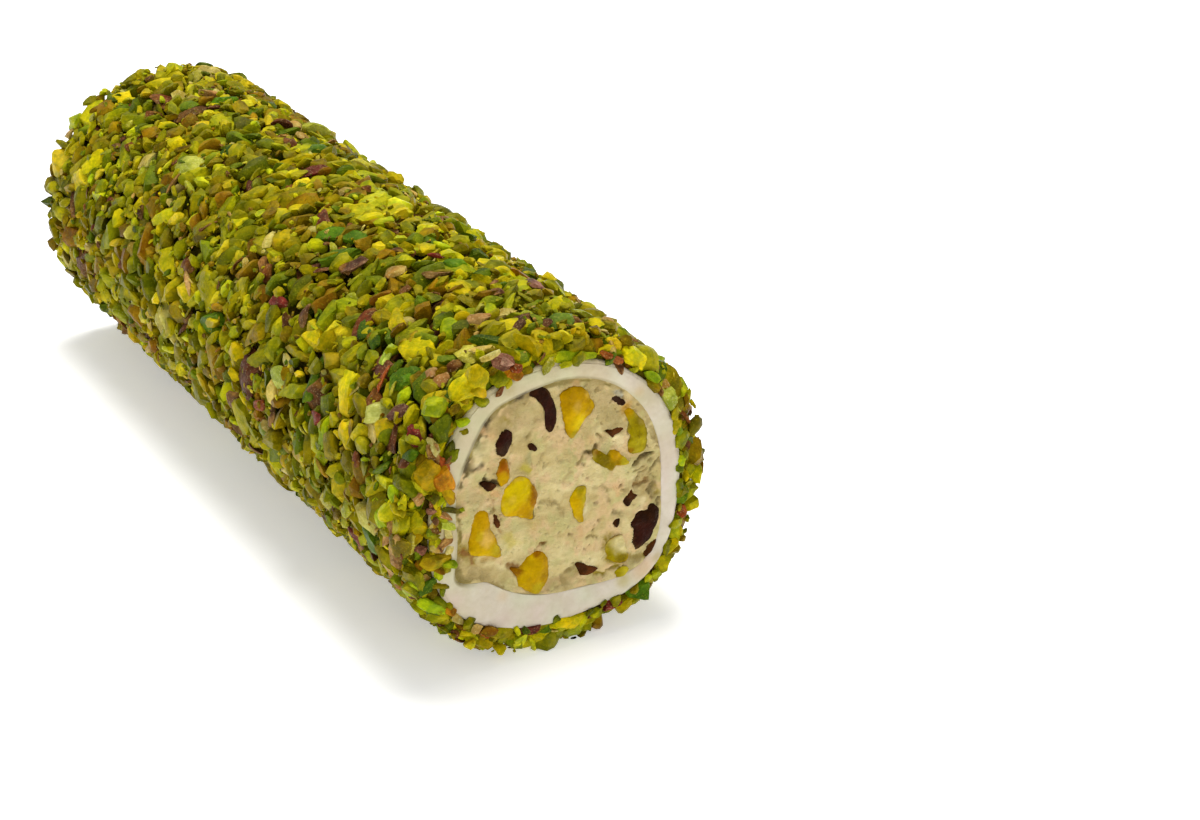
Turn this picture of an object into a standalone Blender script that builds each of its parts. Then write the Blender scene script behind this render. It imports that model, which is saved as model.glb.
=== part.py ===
"""A chopped-pistachio roll of nougat in a soft white layer, cut straight at both ends and lying down.

The roll's axis runs along Y. The front cut face looks towards -Y, and the roll rests on z = 0.
Sizes are in millimetres, measured from the roll's axis, and MM turns them into metres in each mesh.
"""

import math
import random
from dataclasses import dataclass

import bmesh
import bpy
from mathutils import Euler, Matrix, Vector, noise

MM = 0.001

# The whole roll.
ROLL_LENGTH = 134.0
CREST_RADIUS = 22.5
FLAT_DEPTH = 0.5
AXIS_HEIGHT = CREST_RADIUS - FLAT_DEPTH
FACE_Y = ROLL_LENGTH / 2
GAP = 0.3
TRIM = 12.0

# The chopped coat: a core all over bumps of the broken pieces' size, with the largest pieces fused on.
CORE_RADIUS = 20.9
BUMP_POINTS_ROUND = 51
BUMP_ROWS = 59
BUMP_PEAK = (0.7, 1.6)
BUMP_RIDGE = (0.4, 1.2)
BUMP_VALLEY = (-0.9, -0.2)
BUMP_RIDGE_SHARE = 0.25
BUMP_JITTER = 0.3
SHOULDER_LENGTH = 7.5
SHOULDER_DROP = 1.5
CUT_WALL = 1.3
LEAST_WALL = 0.7
FOOT_RISE = 2.3
FOOT_WIDTH_DEG = 12.0
CHIP_COUNT = 30
CHIP_LONGEST = 7.6
CHIP_SHORTEST = 5.0
CHIP_SLIMNESS = (0.5, 0.85)
CHIP_FLATNESS = (0.34, 0.46)
CHIP_SPACING = 0.9
CHIP_SINK = 0.45
CHIP_TILT_DEG = 16.0
CHIP_TURN_SPREAD = 0.9
CHIP_END_ROOM = 4.0
CHIP_CORNERS = 4
CHIP_CORNER_REACH = 1.3
CHIP_LEAST_PULL = (0.5, 0.5, 0.6)
RIM_FLATNESS = 0.45
RIM_FORWARD = 0.45
COAT_SEED = 20
COAT_SMOOTH_DEG = 25.0

# The two cut faces.
SECTION_SIDES = 36
FACE_STEPS = (0.3, 0.62, 0.92)
FACE_RELIEF = 0.5
FACE_RELIEF_SPACING = 3.4
WHITE_ROUND = 0.35
WHITE_CROWN = 0.15
WHITE_CROWN_INSET = 1.05
FILLING_ROUND = 0.3
POCKET_LIFT = 1.0
INCLUSION_ROUGHNESS = 0.1
INCLUSION_SEED_STEP = 1.7
INCLUSION_BOW_DROP = 1.5
BLUNTNESS = 0.75
INCLUSION_SET_BACK = 0.12
INCLUSION_CROWN = 0.04
INCLUSION_STRAIGHT = 0.6
INCLUSION_END_SCALE = 0.6
CRACK_WIDTH = 0.45
CRACK_DEPTH = 0.9
FACE_SMOOTH_DEG = 40.0


@dataclass(frozen=True)
class Swell:
    """A rise of an outline about one direction, in degrees from +X towards +Z."""

    angle: float
    height: float
    width: float


@dataclass(frozen=True)
class Outline:
    """A rounded section: a circle about (x, z) with a few swells."""

    x: float
    z: float
    radius: float
    swells: tuple

    def reach(self, angle):
        """The radius in a direction given in radians."""
        total = self.radius
        for swell in self.swells:
            turn = (math.degrees(angle) - swell.angle + 180.0) % 360.0 - 180.0
            total += swell.height * math.exp(-((turn / swell.width) ** 2))
        return total

    def point(self, angle, y, grow=0.0, scale=1.0):
        """The outline's point in a direction, at y, after growing and scaling about its centre."""
        reach = (self.reach(angle) + grow) * scale
        return Vector((self.x + reach * math.cos(angle), y, self.z + reach * math.sin(angle)))


WHITE_OUTLINE = Outline(
    0.0, 0.3, 18.3, (Swell(-45, 2.1, 22), Swell(-138, 1.4, 26), Swell(166, -0.4, 24))
)
FILLING_OUTLINE = Outline(
    0.3, 1.3, 15.0, (Swell(-46, 3.8, 24), Swell(-149, 2.9, 12), Swell(126, 1.0, 14))
)


@dataclass(frozen=True)
class Inclusion:
    """A piece set in the filling and cut by the face: where it shows, and how deep it goes."""

    x: float
    z: float
    length: float
    width: float
    tilt: float
    taper: float = 0.0
    bow: float = 0.0
    depth: float = 3.0
    corners: int = 7


FRONT_PISTACHIOS = (
    Inclusion(2.7, 11.2, 7.1, 4.2, 94, taper=0.34, depth=3.6, corners=8),
    Inclusion(11.7, 6.2, 5.5, 2.9, 94, taper=-0.1),
    Inclusion(7.7, 3.6, 4.9, 2.6, 6, taper=0.1),
    Inclusion(-5.7, 1.4, 5.9, 4.9, 52, taper=0.1, depth=4.0, corners=8),
    Inclusion(3.2, -1.3, 4.6, 2.1, 72, bow=0.3, corners=7),
    Inclusion(-11.3, -2.4, 7.3, 4.1, 101, taper=-0.3, depth=3.8, corners=8),
    Inclusion(-3.9, -9.4, 5.6, 4.4, 140, depth=3.4, corners=8),
    Inclusion(-8.0, 5.4, 3.4, 1.8, 76, depth=2.2, corners=6),
    Inclusion(8.9, -9.8, 4.7, 2.6, 122, depth=2.6),
    Inclusion(9.4, -13.0, 2.2, 1.4, 12, depth=1.6, corners=6),
)
FRONT_CHOCOLATES = (
    Inclusion(-1.8, 12.9, 7.2, 1.6, 112, taper=0.15, bow=-0.6, depth=3.0, corners=10),
    Inclusion(-7.7, 9.6, 3.7, 2.1, 72, depth=2.8),
    Inclusion(-3.7, 8.0, 1.6, 1.0, 136, depth=1.2, corners=6),
    Inclusion(8.9, 11.4, 2.2, 0.8, 140, depth=1.2, corners=6),
    Inclusion(8.2, 7.3, 2.2, 1.0, 168, depth=1.2, corners=6),
    Inclusion(13.0, -7.7, 6.6, 3.2, 67, depth=3.6, corners=8),
    Inclusion(13.5, -11.2, 2.4, 1.2, 44, depth=1.6, corners=6),
    Inclusion(4.2, -11.5, 3.6, 1.5, 152, taper=-0.4, depth=1.8, corners=6),
    Inclusion(10.9, -2.7, 2.5, 1.1, 50, depth=1.6, corners=6),
    Inclusion(8.9, -6.0, 1.5, 0.8, 60, depth=1.0, corners=6),
    Inclusion(-9.9, 4.0, 2.2, 1.1, 150, depth=1.2, corners=6),
    Inclusion(-8.5, -1.3, 2.2, 0.7, 98, depth=1.2, corners=6),
)
BACK_PISTACHIOS = (
    Inclusion(-5.2, 10.9, 6.6, 4.2, 74, taper=0.3, depth=3.6, corners=8),
    Inclusion(3.4, 8.4, 6.4, 3.4, 118, taper=-0.3, depth=3.2),
    Inclusion(9.8, 0.4, 6.4, 4.6, 8, depth=4.0, corners=8),
    Inclusion(4.6, -2.6, 4.0, 2.1, 128, depth=2.4, corners=6),
    Inclusion(-3.2, 2.4, 3.8, 2.6, 70, taper=-0.3, depth=2.6, corners=6),
    Inclusion(-10.7, -1.0, 4.0, 2.2, 12, depth=2.4, corners=6),
    Inclusion(-2.2, -8.6, 6.2, 2.8, 142, depth=3.0),
    Inclusion(-11.2, 6.2, 5.4, 2.9, 84, depth=2.8),
    Inclusion(10.3, -9.4, 3.8, 1.9, 24, depth=2.0, corners=6),
)
BACK_CHOCOLATES = (
    Inclusion(0.2, 13.2, 6.2, 1.5, 76, bow=0.8, depth=3.0, corners=10),
    Inclusion(4.8, 2.8, 4.8, 3.3, 82, depth=3.4, corners=8),
    Inclusion(-5.2, -3.5, 3.6, 3.4, 20, depth=3.4, corners=8),
    Inclusion(-7.9, -8.0, 3.9, 2.2, 168, depth=2.4),
    Inclusion(6.6, -11.6, 3.0, 1.1, 14, depth=1.4, corners=6),
    Inclusion(1.2, -4.3, 2.2, 1.4, 160, depth=1.4, corners=6),
    Inclusion(10.6, 7.8, 2.0, 1.1, 60, depth=1.4, corners=6),
)

# Cracks in the cut faces, as the (x, z) points that each runs through.
FRONT_CRACKS = (
    ((2.6, 4.0), (4.0, 4.8), (5.2, 5.9)),
    ((10.9, 1.9), (12.3, 2.7), (14.6, 3.1)),
    ((14.2, 1.7), (12.2, -0.2), (11.3, -1.2)),
    ((-12.8, 6.6), (-11.5, 6.8), (-10.4, 7.1)),
    ((-4.4, -1.9), (-1.6, -2.6), (0.6, -2.4)),
)
BACK_CRACKS = (
    ((-8.6, 3.0), (-6.8, 2.0), (-6.0, 0.4)),
    ((-13.4, 2.4), (-11.6, 2.6), (-9.9, 2.0)),
    ((7.2, -5.4), (9.0, -5.0), (11.6, -5.7)),
)


@dataclass(frozen=True)
class RimPiece:
    """A broken piece that hangs over the white layer's edge at a cut end."""

    angle: float
    radius: float
    length: float
    width: float
    turn: float
    forward: float = 0.9


FRONT_RIM = (
    RimPiece(140, 19.7, 5.0, 4.0, 60, 0.9),
    RimPiece(119, 20.6, 5.2, 3.4, 10, 0.6),
    RimPiece(157, 19.7, 4.6, 2.8, 150, 0.6),
    RimPiece(173, 19.1, 5.4, 3.2, 80, 0.7),
    RimPiece(-169, 19.9, 4.0, 2.6, 100, 0.5),
    RimPiece(-152, 21.2, 4.6, 2.6, 35, 0.6),
    RimPiece(-43, 22.3, 4.2, 3.6, 130, 0.7),
    RimPiece(-57, 22.1, 4.0, 2.2, 25, 0.4),
    RimPiece(-71, 20.7, 5.6, 2.2, 20, 0.6),
    RimPiece(-21, 21.2, 2.8, 2.4, 80, 0.5),
    RimPiece(6, 20.0, 4.2, 2.2, 95, 0.5),
    RimPiece(50, 20.2, 4.4, 2.4, 145, 0.5),
)
BACK_RIM = (
    RimPiece(150, 19.9, 4.8, 3.2, 70, 0.7),
    RimPiece(101, 20.5, 4.8, 2.8, 10, 0.6),
    RimPiece(61, 20.1, 4.2, 3.0, 140, 0.7),
    RimPiece(24, 20.0, 4.8, 2.6, 110, 0.6),
    RimPiece(-9, 20.4, 3.6, 2.6, 80, 0.6),
    RimPiece(-38, 22.3, 4.6, 2.8, 130, 0.6),
    RimPiece(-67, 21.0, 4.0, 2.2, 25, 0.5),
    RimPiece(-136, 21.4, 4.2, 2.8, 50, 0.6),
    RimPiece(-171, 19.9, 4.2, 2.4, 95, 0.6),
)


@dataclass(frozen=True)
class CutFace:
    """One cut end of the roll: the side of y = 0 that it is on and all that it shows."""

    label: str
    side: int
    relief_seed: float
    pistachios: tuple
    chocolates: tuple
    cracks: tuple
    rim: tuple


CUT_FACES = (
    CutFace("front", -1, 3.0, FRONT_PISTACHIOS, FRONT_CHOCOLATES, FRONT_CRACKS, FRONT_RIM),
    CutFace("back", 1, 8.0, BACK_PISTACHIOS, BACK_CHOCOLATES, BACK_CRACKS, BACK_RIM),
)


@dataclass(frozen=True)
class Finish:
    """The plain look of one kind of material."""

    color: tuple
    roughness: float


FINISHES = {
    "chopped_pistachio": Finish((0.33, 0.30, 0.03), 0.55),
    "white_sweet": Finish((0.78, 0.75, 0.69), 0.45),
    "nougat": Finish((0.58, 0.48, 0.30), 0.6),
    "pistachio_kernel": Finish((0.62, 0.42, 0.02), 0.45),
    "dark_chocolate": Finish((0.035, 0.016, 0.018), 0.35),
}


def clear_scene():
    """Removes what the file starts with."""
    for obj in list(bpy.data.objects):
        bpy.data.objects.remove(obj, do_unlink=True)


def material(slot):
    """The Principled material of a slot, made at its first use."""
    found = bpy.data.materials.get(slot)
    if found:
        return found
    made = bpy.data.materials.new(slot)
    made.use_nodes = True
    shader = made.node_tree.nodes["Principled BSDF"]
    shader.inputs["Base Color"].default_value = (*FINISHES[slot].color, 1.0)
    shader.inputs["Roughness"].default_value = FINISHES[slot].roughness
    shader.inputs["Metallic"].default_value = 0.0
    return made


def new_object(name, bm, collection, slot=None):
    """Turns a bmesh in millimetres into an object in metres, with its normals facing out."""
    bmesh.ops.recalc_face_normals(bm, faces=bm.faces)
    if bm.calc_volume(signed=True) < 0.0:
        bmesh.ops.reverse_faces(bm, faces=bm.faces)
    bmesh.ops.scale(bm, vec=(MM, MM, MM), verts=bm.verts)
    mesh = bpy.data.meshes.new(name)
    bm.to_mesh(mesh)
    bm.free()
    obj = bpy.data.objects.new(name, mesh)
    collection.objects.link(obj)
    if slot:
        mesh.materials.append(material(slot))
    return obj


def new_collection(name):
    """An empty collection that the scene holds."""
    made = bpy.data.collections.new(name)
    bpy.context.scene.collection.children.link(made)
    return made


def loft(rings, closes=False):
    """A bmesh skin over rings of points: a tube that closes on itself, or a rod with closed ends."""
    bm = bmesh.new()
    made = [[bm.verts.new(point) for point in ring] for ring in rings]
    pairs = list(zip(made, made[1:]))
    if closes:
        pairs.append((made[-1], made[0]))
    else:
        for end in (made[0], made[-1]):
            if len(end) > 1:
                bm.faces.new(end)
    for near, far in pairs:
        count = max(len(near), len(far))
        for k in range(count):
            after = (k + 1) % count
            if len(near) == 1:
                bm.faces.new((near[0], far[after], far[k]))
            elif len(far) == 1:
                bm.faces.new((near[k], near[after], far[0]))
            else:
                bm.faces.new((near[k], near[after], far[after], far[k]))
    return bm


def around(sides):
    """The directions of a ring's points, in radians."""
    return [math.tau * k / sides for k in range(sides)]


def shading(obj, angle_deg=FACE_SMOOTH_DEG):
    """Shades a round piece smooth, except along its sharp edges."""
    obj.data.shade_smooth()
    obj.data.set_sharp_from_angle(angle=math.radians(angle_deg))


def boolean(obj, operation, operand, solver):
    """Joins or cuts an object with a whole collection, and applies the result to its mesh."""
    modifier = obj.modifiers.new(operation.title(), "BOOLEAN")
    modifier.operation = operation
    modifier.operand_type = "COLLECTION"
    modifier.collection = operand
    modifier.solver = solver
    bpy.context.view_layer.update()
    evaluated = obj.evaluated_get(bpy.context.evaluated_depsgraph_get())
    result = bpy.data.meshes.new_from_object(evaluated)
    obj.modifiers.clear()
    obj.data = result
    for tool in list(operand.objects):
        bpy.data.objects.remove(tool, do_unlink=True)
    bpy.data.collections.remove(operand)


def signed_volume(faces):
    """The volume that a closed set of faces encloses, negative for a hollow."""
    total = 0.0
    for face in faces:
        first = face.verts[0].co
        for one, two in zip(face.verts[1:], face.verts[2:]):
            total += first.dot(one.co.cross(two.co)) / 6.0
    return total


def keep_largest_body(obj):
    """Fills the hollows that fusing sealed, and drops loose scraps."""
    bm = bmesh.new()
    bm.from_mesh(obj.data)
    bmesh.ops.triangulate(bm, faces=bm.faces)
    waiting = set(bm.faces)
    bodies = []
    while waiting:
        front = [waiting.pop()]
        body = set(front)
        while front:
            face = front.pop()
            for edge in face.edges:
                for other in edge.link_faces:
                    if other in waiting:
                        waiting.discard(other)
                        body.add(other)
                        front.append(other)
        bodies.append(body)
    kept = max(bodies, key=signed_volume)
    dropped = [face for face in bm.faces if face not in kept]
    bmesh.ops.delete(bm, geom=dropped, context="FACES")
    bm.to_mesh(obj.data)
    bm.free()


def face_relief(x, z, seed):
    """How far the crumbly filling is torn back from its cut plane at a point."""
    spot = Vector((x, z, seed)) / FACE_RELIEF_SPACING
    return FACE_RELIEF * (0.5 + 0.5 * noise.noise(spot))


def filling_rings(face):
    """The rings of one cut face of the filling, from its middle out to its rounded edge."""
    rings = [[Vector((FILLING_OUTLINE.x, 0.0, FILLING_OUTLINE.z))]]
    for scale in FACE_STEPS:
        rings.append(
            [FILLING_OUTLINE.point(angle, 0.0, scale=scale) for angle in around(SECTION_SIDES)]
        )
    for ring in rings:
        for point in ring:
            point.y = face.side * (FACE_Y - face_relief(point.x, point.z, face.relief_seed))
    edge_y = face.side * (FACE_Y - FACE_RELIEF - FILLING_ROUND)
    rings.append([FILLING_OUTLINE.point(angle, edge_y) for angle in around(SECTION_SIDES)])
    return rings


def inclusion_outline(piece, seed, grow):
    """The (x, z) outline of a piece in its cut face: an oval that can taper and bow."""
    turn = math.radians(piece.tilt)
    outline = []
    for angle in around(piece.corners):
        wobble = 1.0 + INCLUSION_ROUGHNESS * noise.noise(
            Vector((math.cos(angle), math.sin(angle), INCLUSION_SEED_STEP * seed))
        )
        along = math.cos(angle)
        half_width = piece.width / 2 * (1.0 + piece.taper * along)
        u = along * (piece.length / 2) * wobble
        v = math.copysign(abs(math.sin(angle)) ** BLUNTNESS, math.sin(angle)) * half_width * wobble
        outward = Vector((u / piece.length, v / piece.width)).normalized() * grow
        u += outward.x
        v += outward.y + piece.bow * (1.0 - INCLUSION_BOW_DROP * along * along)
        outline.append(
            Vector(
                (
                    piece.x + u * math.cos(turn) - v * math.sin(turn),
                    piece.z + u * math.sin(turn) + v * math.cos(turn),
                )
            )
        )
    return outline


def inclusion_ring(outline, scale, y):
    """An outline drawn in towards its middle by a scale, at y."""
    middle = sum(outline, Vector((0.0, 0.0))) / len(outline)
    spots = [middle + (point - middle) * scale for point in outline]
    return [Vector((spot.x, y, spot.y)) for spot in spots]


def inclusion_mesh(piece, side, seed):
    """A piece from its crowned cut face to its rounded end inside."""
    outline = inclusion_outline(piece, seed, 0.0)
    face = FACE_Y - INCLUSION_SET_BACK
    crown = inclusion_ring(outline, 0.0, side * (face + INCLUSION_CROWN * piece.width))[:1]
    steps = (
        (0.0, 1.0),
        (INCLUSION_STRAIGHT * piece.depth, 1.0),
        (piece.depth, INCLUSION_END_SCALE),
    )
    return loft([crown] + [inclusion_ring(outline, scale, side * (face - y)) for y, scale in steps])


def pocket_mesh(piece, side, seed):
    """The straight-sided pocket that clears a piece all round."""
    outline = inclusion_outline(piece, seed, GAP)
    ends = (FACE_Y + POCKET_LIFT, FACE_Y - INCLUSION_SET_BACK - piece.depth - GAP)
    return loft([inclusion_ring(outline, 1.0, side * y) for y in ends])


def crack_mesh(points, side):
    """A thin groove along a crack, widest in its middle and deep enough to look dark."""
    path = [Vector(point) for point in points]
    left = []
    right = []
    for k in range(1, len(path) - 1):
        along = (path[k + 1] - path[k - 1]).normalized()
        across = Vector((-along.y, along.x)) * CRACK_WIDTH / 2
        left.append(path[k] + across)
        right.append(path[k] - across)
    outline = [path[0], *left, path[-1], *reversed(right)]
    near = side * (FACE_Y + POCKET_LIFT)
    far = side * (FACE_Y - CRACK_DEPTH)
    return loft([[Vector((p.x, y, p.y)) for p in outline] for y in (near, far)])


def build_filling(scene):
    """The nougat: a rod with torn faces, pockets for the pieces that the cuts show, and cracks."""
    front, back = [filling_rings(face) for face in CUT_FACES]
    filling = new_object("filling", loft(front + back[::-1]), scene, "nougat")
    tools = new_collection("pockets")
    for face in CUT_FACES:
        for group in (face.pistachios, face.chocolates):
            for k, piece in enumerate(group):
                new_object("pocket", pocket_mesh(piece, face.side, k), tools)
        for crack in face.cracks:
            new_object("crack", crack_mesh(crack, face.side), tools)
    boolean(filling, "DIFFERENCE", tools, "EXACT")
    keep_largest_body(filling)
    shading(filling)


def build_inclusions(scene):
    """Each nut or chocolate piece that a cut face shows, a solid of its own."""
    for face in CUT_FACES:
        for kind, group, slot in (
            ("pistachio", face.pistachios, "pistachio_kernel"),
            ("chocolate", face.chocolates, "dark_chocolate"),
        ):
            for k, piece in enumerate(group):
                name = f"{kind}_{face.label}_{k + 1:02d}"
                shading(new_object(name, inclusion_mesh(piece, face.side, k), scene, slot))


def build_white_layer(scene):
    """The soft white layer round the filling, thick below and thin above, with rounded edges."""
    steps = []
    for side in (-1, 1):
        steps += [
            (FILLING_OUTLINE, GAP, side * (FACE_Y - WHITE_ROUND)),
            (FILLING_OUTLINE, GAP + WHITE_ROUND, side * FACE_Y),
            (WHITE_OUTLINE, -WHITE_CROWN_INSET, side * (FACE_Y + WHITE_CROWN)),
            (WHITE_OUTLINE, -WHITE_ROUND, side * FACE_Y),
            (WHITE_OUTLINE, 0.0, side * (FACE_Y - WHITE_ROUND)),
        ]
    order = steps[:5] + steps[:4:-1]
    rings = [[o.point(a, y, grow=g) for a in around(SECTION_SIDES)] for o, g, y in order]
    white = new_object("white_layer", loft(rings, closes=True), scene, "white_sweet")
    shading(white)


def core_reach(angle, y, height):
    """The coat core's radius in a direction at y: lower at its shoulders, with a foot underneath."""
    into_shoulder = max(0.0, SHOULDER_LENGTH - (FACE_Y - abs(y))) / SHOULDER_LENGTH
    inner = WHITE_OUTLINE.point(angle, 0.0, grow=GAP)
    bore = math.hypot(inner.x, inner.z)
    base = max(CORE_RADIUS - SHOULDER_DROP * into_shoulder**2, bore + CUT_WALL)
    below = (math.degrees(angle) + 90.0 + 180.0) % 360.0 - 180.0
    foot = FOOT_RISE * math.exp(-((below / FOOT_WIDTH_DEG) ** 4)) * (1.0 - into_shoulder)
    return max(base + height, bore + LEAST_WALL) + foot


def bump_height(column, row, draw):
    """How far a point of the core's triangular lattice stands off it: each third point is a peak."""
    if (column - row) % 3 == 0:
        return draw.uniform(*BUMP_PEAK)
    if draw.random() < BUMP_RIDGE_SHARE:
        return draw.uniform(*BUMP_RIDGE)
    return draw.uniform(*BUMP_VALLEY)


def core_mesh():
    """The coat's core as a solid rod of uneven bumps, before it is bored for what it wraps."""
    draw = random.Random(COAT_SEED)
    bm = bmesh.new()
    step = ROLL_LENGTH / (BUMP_ROWS - 1)
    rows = []
    for row in range(BUMP_ROWS):
        made = []
        inside = 0.0 if row in (0, BUMP_ROWS - 1) else 1.0
        for column in range(BUMP_POINTS_ROUND):
            shift = draw.uniform(-BUMP_JITTER, BUMP_JITTER)
            angle = math.tau * (column + 0.5 * row + shift) / BUMP_POINTS_ROUND
            y = -FACE_Y + step * (row + inside * draw.uniform(-BUMP_JITTER, BUMP_JITTER))
            reach = core_reach(angle, y, bump_height(column, row, draw))
            made.append(bm.verts.new((reach * math.cos(angle), y, reach * math.sin(angle))))
        rows.append(made)
    for near, far in zip(rows, rows[1:]):
        for k in range(BUMP_POINTS_ROUND):
            after = (k + 1) % BUMP_POINTS_ROUND
            bm.faces.new((near[k], near[after], far[k]))
            bm.faces.new((near[after], far[after], far[k]))
    bm.faces.new(rows[0])
    bm.faces.new(rows[-1])
    return bm


def chip_mesh(length, width, thickness, draw):
    """One broken piece: the hull of a short bar's corners, each pulled in by its own amount."""
    bm = bmesh.new()
    for end in (-1, 1):
        for k in range(CHIP_CORNERS):
            angle = math.tau * (k + 0.5) / CHIP_CORNERS
            across = CHIP_CORNER_REACH * Vector((width * math.cos(angle), thickness * math.sin(angle)))
            pull = [draw.uniform(least, 1.0) for least in CHIP_LEAST_PULL]
            bm.verts.new(Vector((end * length * pull[0], across.x * pull[1], across.y * pull[2])) / 2)
    made = bmesh.ops.convex_hull(bm, input=bm.verts)
    spare = [v for v in made["geom_interior"] if isinstance(v, bmesh.types.BMVert)]
    bmesh.ops.delete(bm, geom=spare, context="VERTS")
    bmesh.ops.triangulate(bm, faces=bm.faces)
    return bm


def chip_spots():
    """Where the chips lie, largest first: (angle, y, size), each well clear of the larger ones."""
    spots = []
    draw = random.Random(COAT_SEED + 1)
    while len(spots) < CHIP_COUNT:
        size = CHIP_LONGEST - (CHIP_LONGEST - CHIP_SHORTEST) * len(spots) / CHIP_COUNT
        angle = draw.uniform(0.0, math.tau)
        y = draw.uniform(-1.0, 1.0) * (FACE_Y - CHIP_END_ROOM)
        apart = [
            math.hypot(CORE_RADIUS * ((angle - a + math.pi) % math.tau - math.pi), y - b)
            / (size + other)
            for a, b, other in spots
        ]
        if min(apart, default=1.0 + CHIP_SPACING) > CHIP_SPACING:
            spots.append((angle, y, size))
    return spots


def lay(bm, angle, reach, y, turn, tilt):
    """Lays a chip flat against the roll at a place, turned in its plane and tipped."""
    outward = Matrix.Rotation(math.pi / 2 - angle, 4, "Y")
    place = Vector((reach * math.cos(angle), y, reach * math.sin(angle)))
    spin = Euler((tilt[0], tilt[1], turn)).to_matrix().to_4x4()
    bm.transform(Matrix.Translation(place) @ outward @ spin)


def add_chips(pieces):
    """The largest broken pieces, spread evenly, their long sides more often round the roll."""
    draw = random.Random(COAT_SEED + 2)
    for angle, y, size in chip_spots():
        width = size * draw.uniform(*CHIP_SLIMNESS)
        thickness = size * draw.uniform(*CHIP_FLATNESS)
        bm = chip_mesh(size, width, thickness, draw)
        tilt = [math.radians(draw.uniform(-CHIP_TILT_DEG, CHIP_TILT_DEG)) for _ in "xy"]
        turn = draw.gauss(0.0, CHIP_TURN_SPREAD)
        reach = core_reach(angle, y, CREST_RADIUS - CORE_RADIUS) - CHIP_SINK * thickness
        lay(bm, angle, reach, y, turn, tilt)
        new_object("chip", bm, pieces)


def add_rim_pieces(pieces):
    """The broken pieces that hang over the white layer's edge at each end, flat against it."""
    draw = random.Random(COAT_SEED + 3)
    for face in CUT_FACES:
        for piece in face.rim:
            thickness = RIM_FLATNESS * piece.length
            bm = chip_mesh(piece.length, piece.width, thickness, draw)
            stand = Matrix.Rotation(math.radians(90), 4, "X")
            turn = Matrix.Rotation(math.radians(-piece.turn), 4, "Y")
            angle = math.radians(piece.angle)
            y = face.side * (FACE_Y + piece.forward + RIM_FORWARD - thickness / 2)
            place = Vector((piece.radius * math.cos(angle), y, piece.radius * math.sin(angle)))
            bm.transform(Matrix.Translation(place) @ turn @ stand)
            new_object("rim_piece", bm, pieces)


def bore_mesh():
    """What the coat wraps: the white layer grown by the gap, just past both cut faces."""
    y = FACE_Y + WHITE_CROWN + GAP
    rings = [[Vector((WHITE_OUTLINE.x, -y, WHITE_OUTLINE.z))]]
    for end in (-y, y):
        rings.append([WHITE_OUTLINE.point(a, end, grow=GAP) for a in around(SECTION_SIDES)])
    rings.append([Vector((WHITE_OUTLINE.x, y, WHITE_OUTLINE.z))])
    return loft(rings)


def floor_mesh():
    """The block below the surface that the roll rests on."""
    bm = bmesh.new()
    bmesh.ops.create_cube(bm, size=1.0)
    bmesh.ops.scale(bm, vec=(4 * CREST_RADIUS, 2 * ROLL_LENGTH, TRIM), verts=bm.verts)
    bmesh.ops.translate(bm, vec=(0.0, 0.0, -AXIS_HEIGHT - TRIM / 2), verts=bm.verts)
    return bm


def build_coat(scene):
    """The pistachio coat: core and broken pieces fused, then bored and cut level underneath."""
    coat = new_object("pistachio_coat", core_mesh(), scene, "chopped_pistachio")
    pieces = new_collection("broken_pieces")
    add_chips(pieces)
    add_rim_pieces(pieces)
    boolean(coat, "UNION", pieces, "MANIFOLD")
    tools = new_collection("coat_cutters")
    new_object("bore", bore_mesh(), tools)
    new_object("floor", floor_mesh(), tools)
    boolean(coat, "DIFFERENCE", tools, "MANIFOLD")
    keep_largest_body(coat)
    shading(coat, COAT_SMOOTH_DEG)


def settle():
    """Moves every piece so that the roll stands on z = 0, centred on the origin."""
    corners = [v.co for obj in bpy.data.objects for v in obj.data.vertices]
    low = Vector([min(c[axis] for c in corners) for axis in range(3)])
    high = Vector([max(c[axis] for c in corners) for axis in range(3)])
    shift = Vector((-(low.x + high.x) / 2, -(low.y + high.y) / 2, -low.z))
    for obj in bpy.data.objects:
        obj.data.transform(Matrix.Translation(shift))


def main():
    """Builds the roll."""
    clear_scene()
    scene = bpy.context.scene.collection
    build_filling(scene)
    build_inclusions(scene)
    build_white_layer(scene)
    build_coat(scene)
    settle()


main()
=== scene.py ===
"""A cut roll of nougat in a soft white layer, coated all over with chopped pistachio.

Everything is built in millimetres about the roll's axis, which runs along Y with the front cut face
towards -Y, and then moved to the place in metres that the frame gives.
"""

import itertools
import logging
import math
from dataclasses import dataclass, field
from enum import Enum

import bmesh
import bpy
import numpy as np
from mathutils import Matrix, Vector


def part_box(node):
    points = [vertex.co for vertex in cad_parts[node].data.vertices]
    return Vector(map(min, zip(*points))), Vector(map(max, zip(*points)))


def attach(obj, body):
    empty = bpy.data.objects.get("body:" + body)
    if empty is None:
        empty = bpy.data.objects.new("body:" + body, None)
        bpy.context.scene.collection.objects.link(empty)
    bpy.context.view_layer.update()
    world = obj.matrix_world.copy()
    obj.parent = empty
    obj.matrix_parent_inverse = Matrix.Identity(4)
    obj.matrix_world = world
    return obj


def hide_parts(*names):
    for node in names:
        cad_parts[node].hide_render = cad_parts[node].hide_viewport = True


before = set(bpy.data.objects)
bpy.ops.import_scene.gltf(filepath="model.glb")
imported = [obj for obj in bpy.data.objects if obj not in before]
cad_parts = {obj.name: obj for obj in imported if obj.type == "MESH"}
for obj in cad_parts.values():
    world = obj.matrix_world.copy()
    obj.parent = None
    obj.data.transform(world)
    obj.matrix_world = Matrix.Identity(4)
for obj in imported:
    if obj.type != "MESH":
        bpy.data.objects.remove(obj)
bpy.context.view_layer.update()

Array = np.ndarray
Piece = bpy.types.Object
Material = bpy.types.Material
Socket = bpy.types.NodeSocket
Tree = bpy.types.NodeTree
Colour = tuple[int, int, int]
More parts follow.
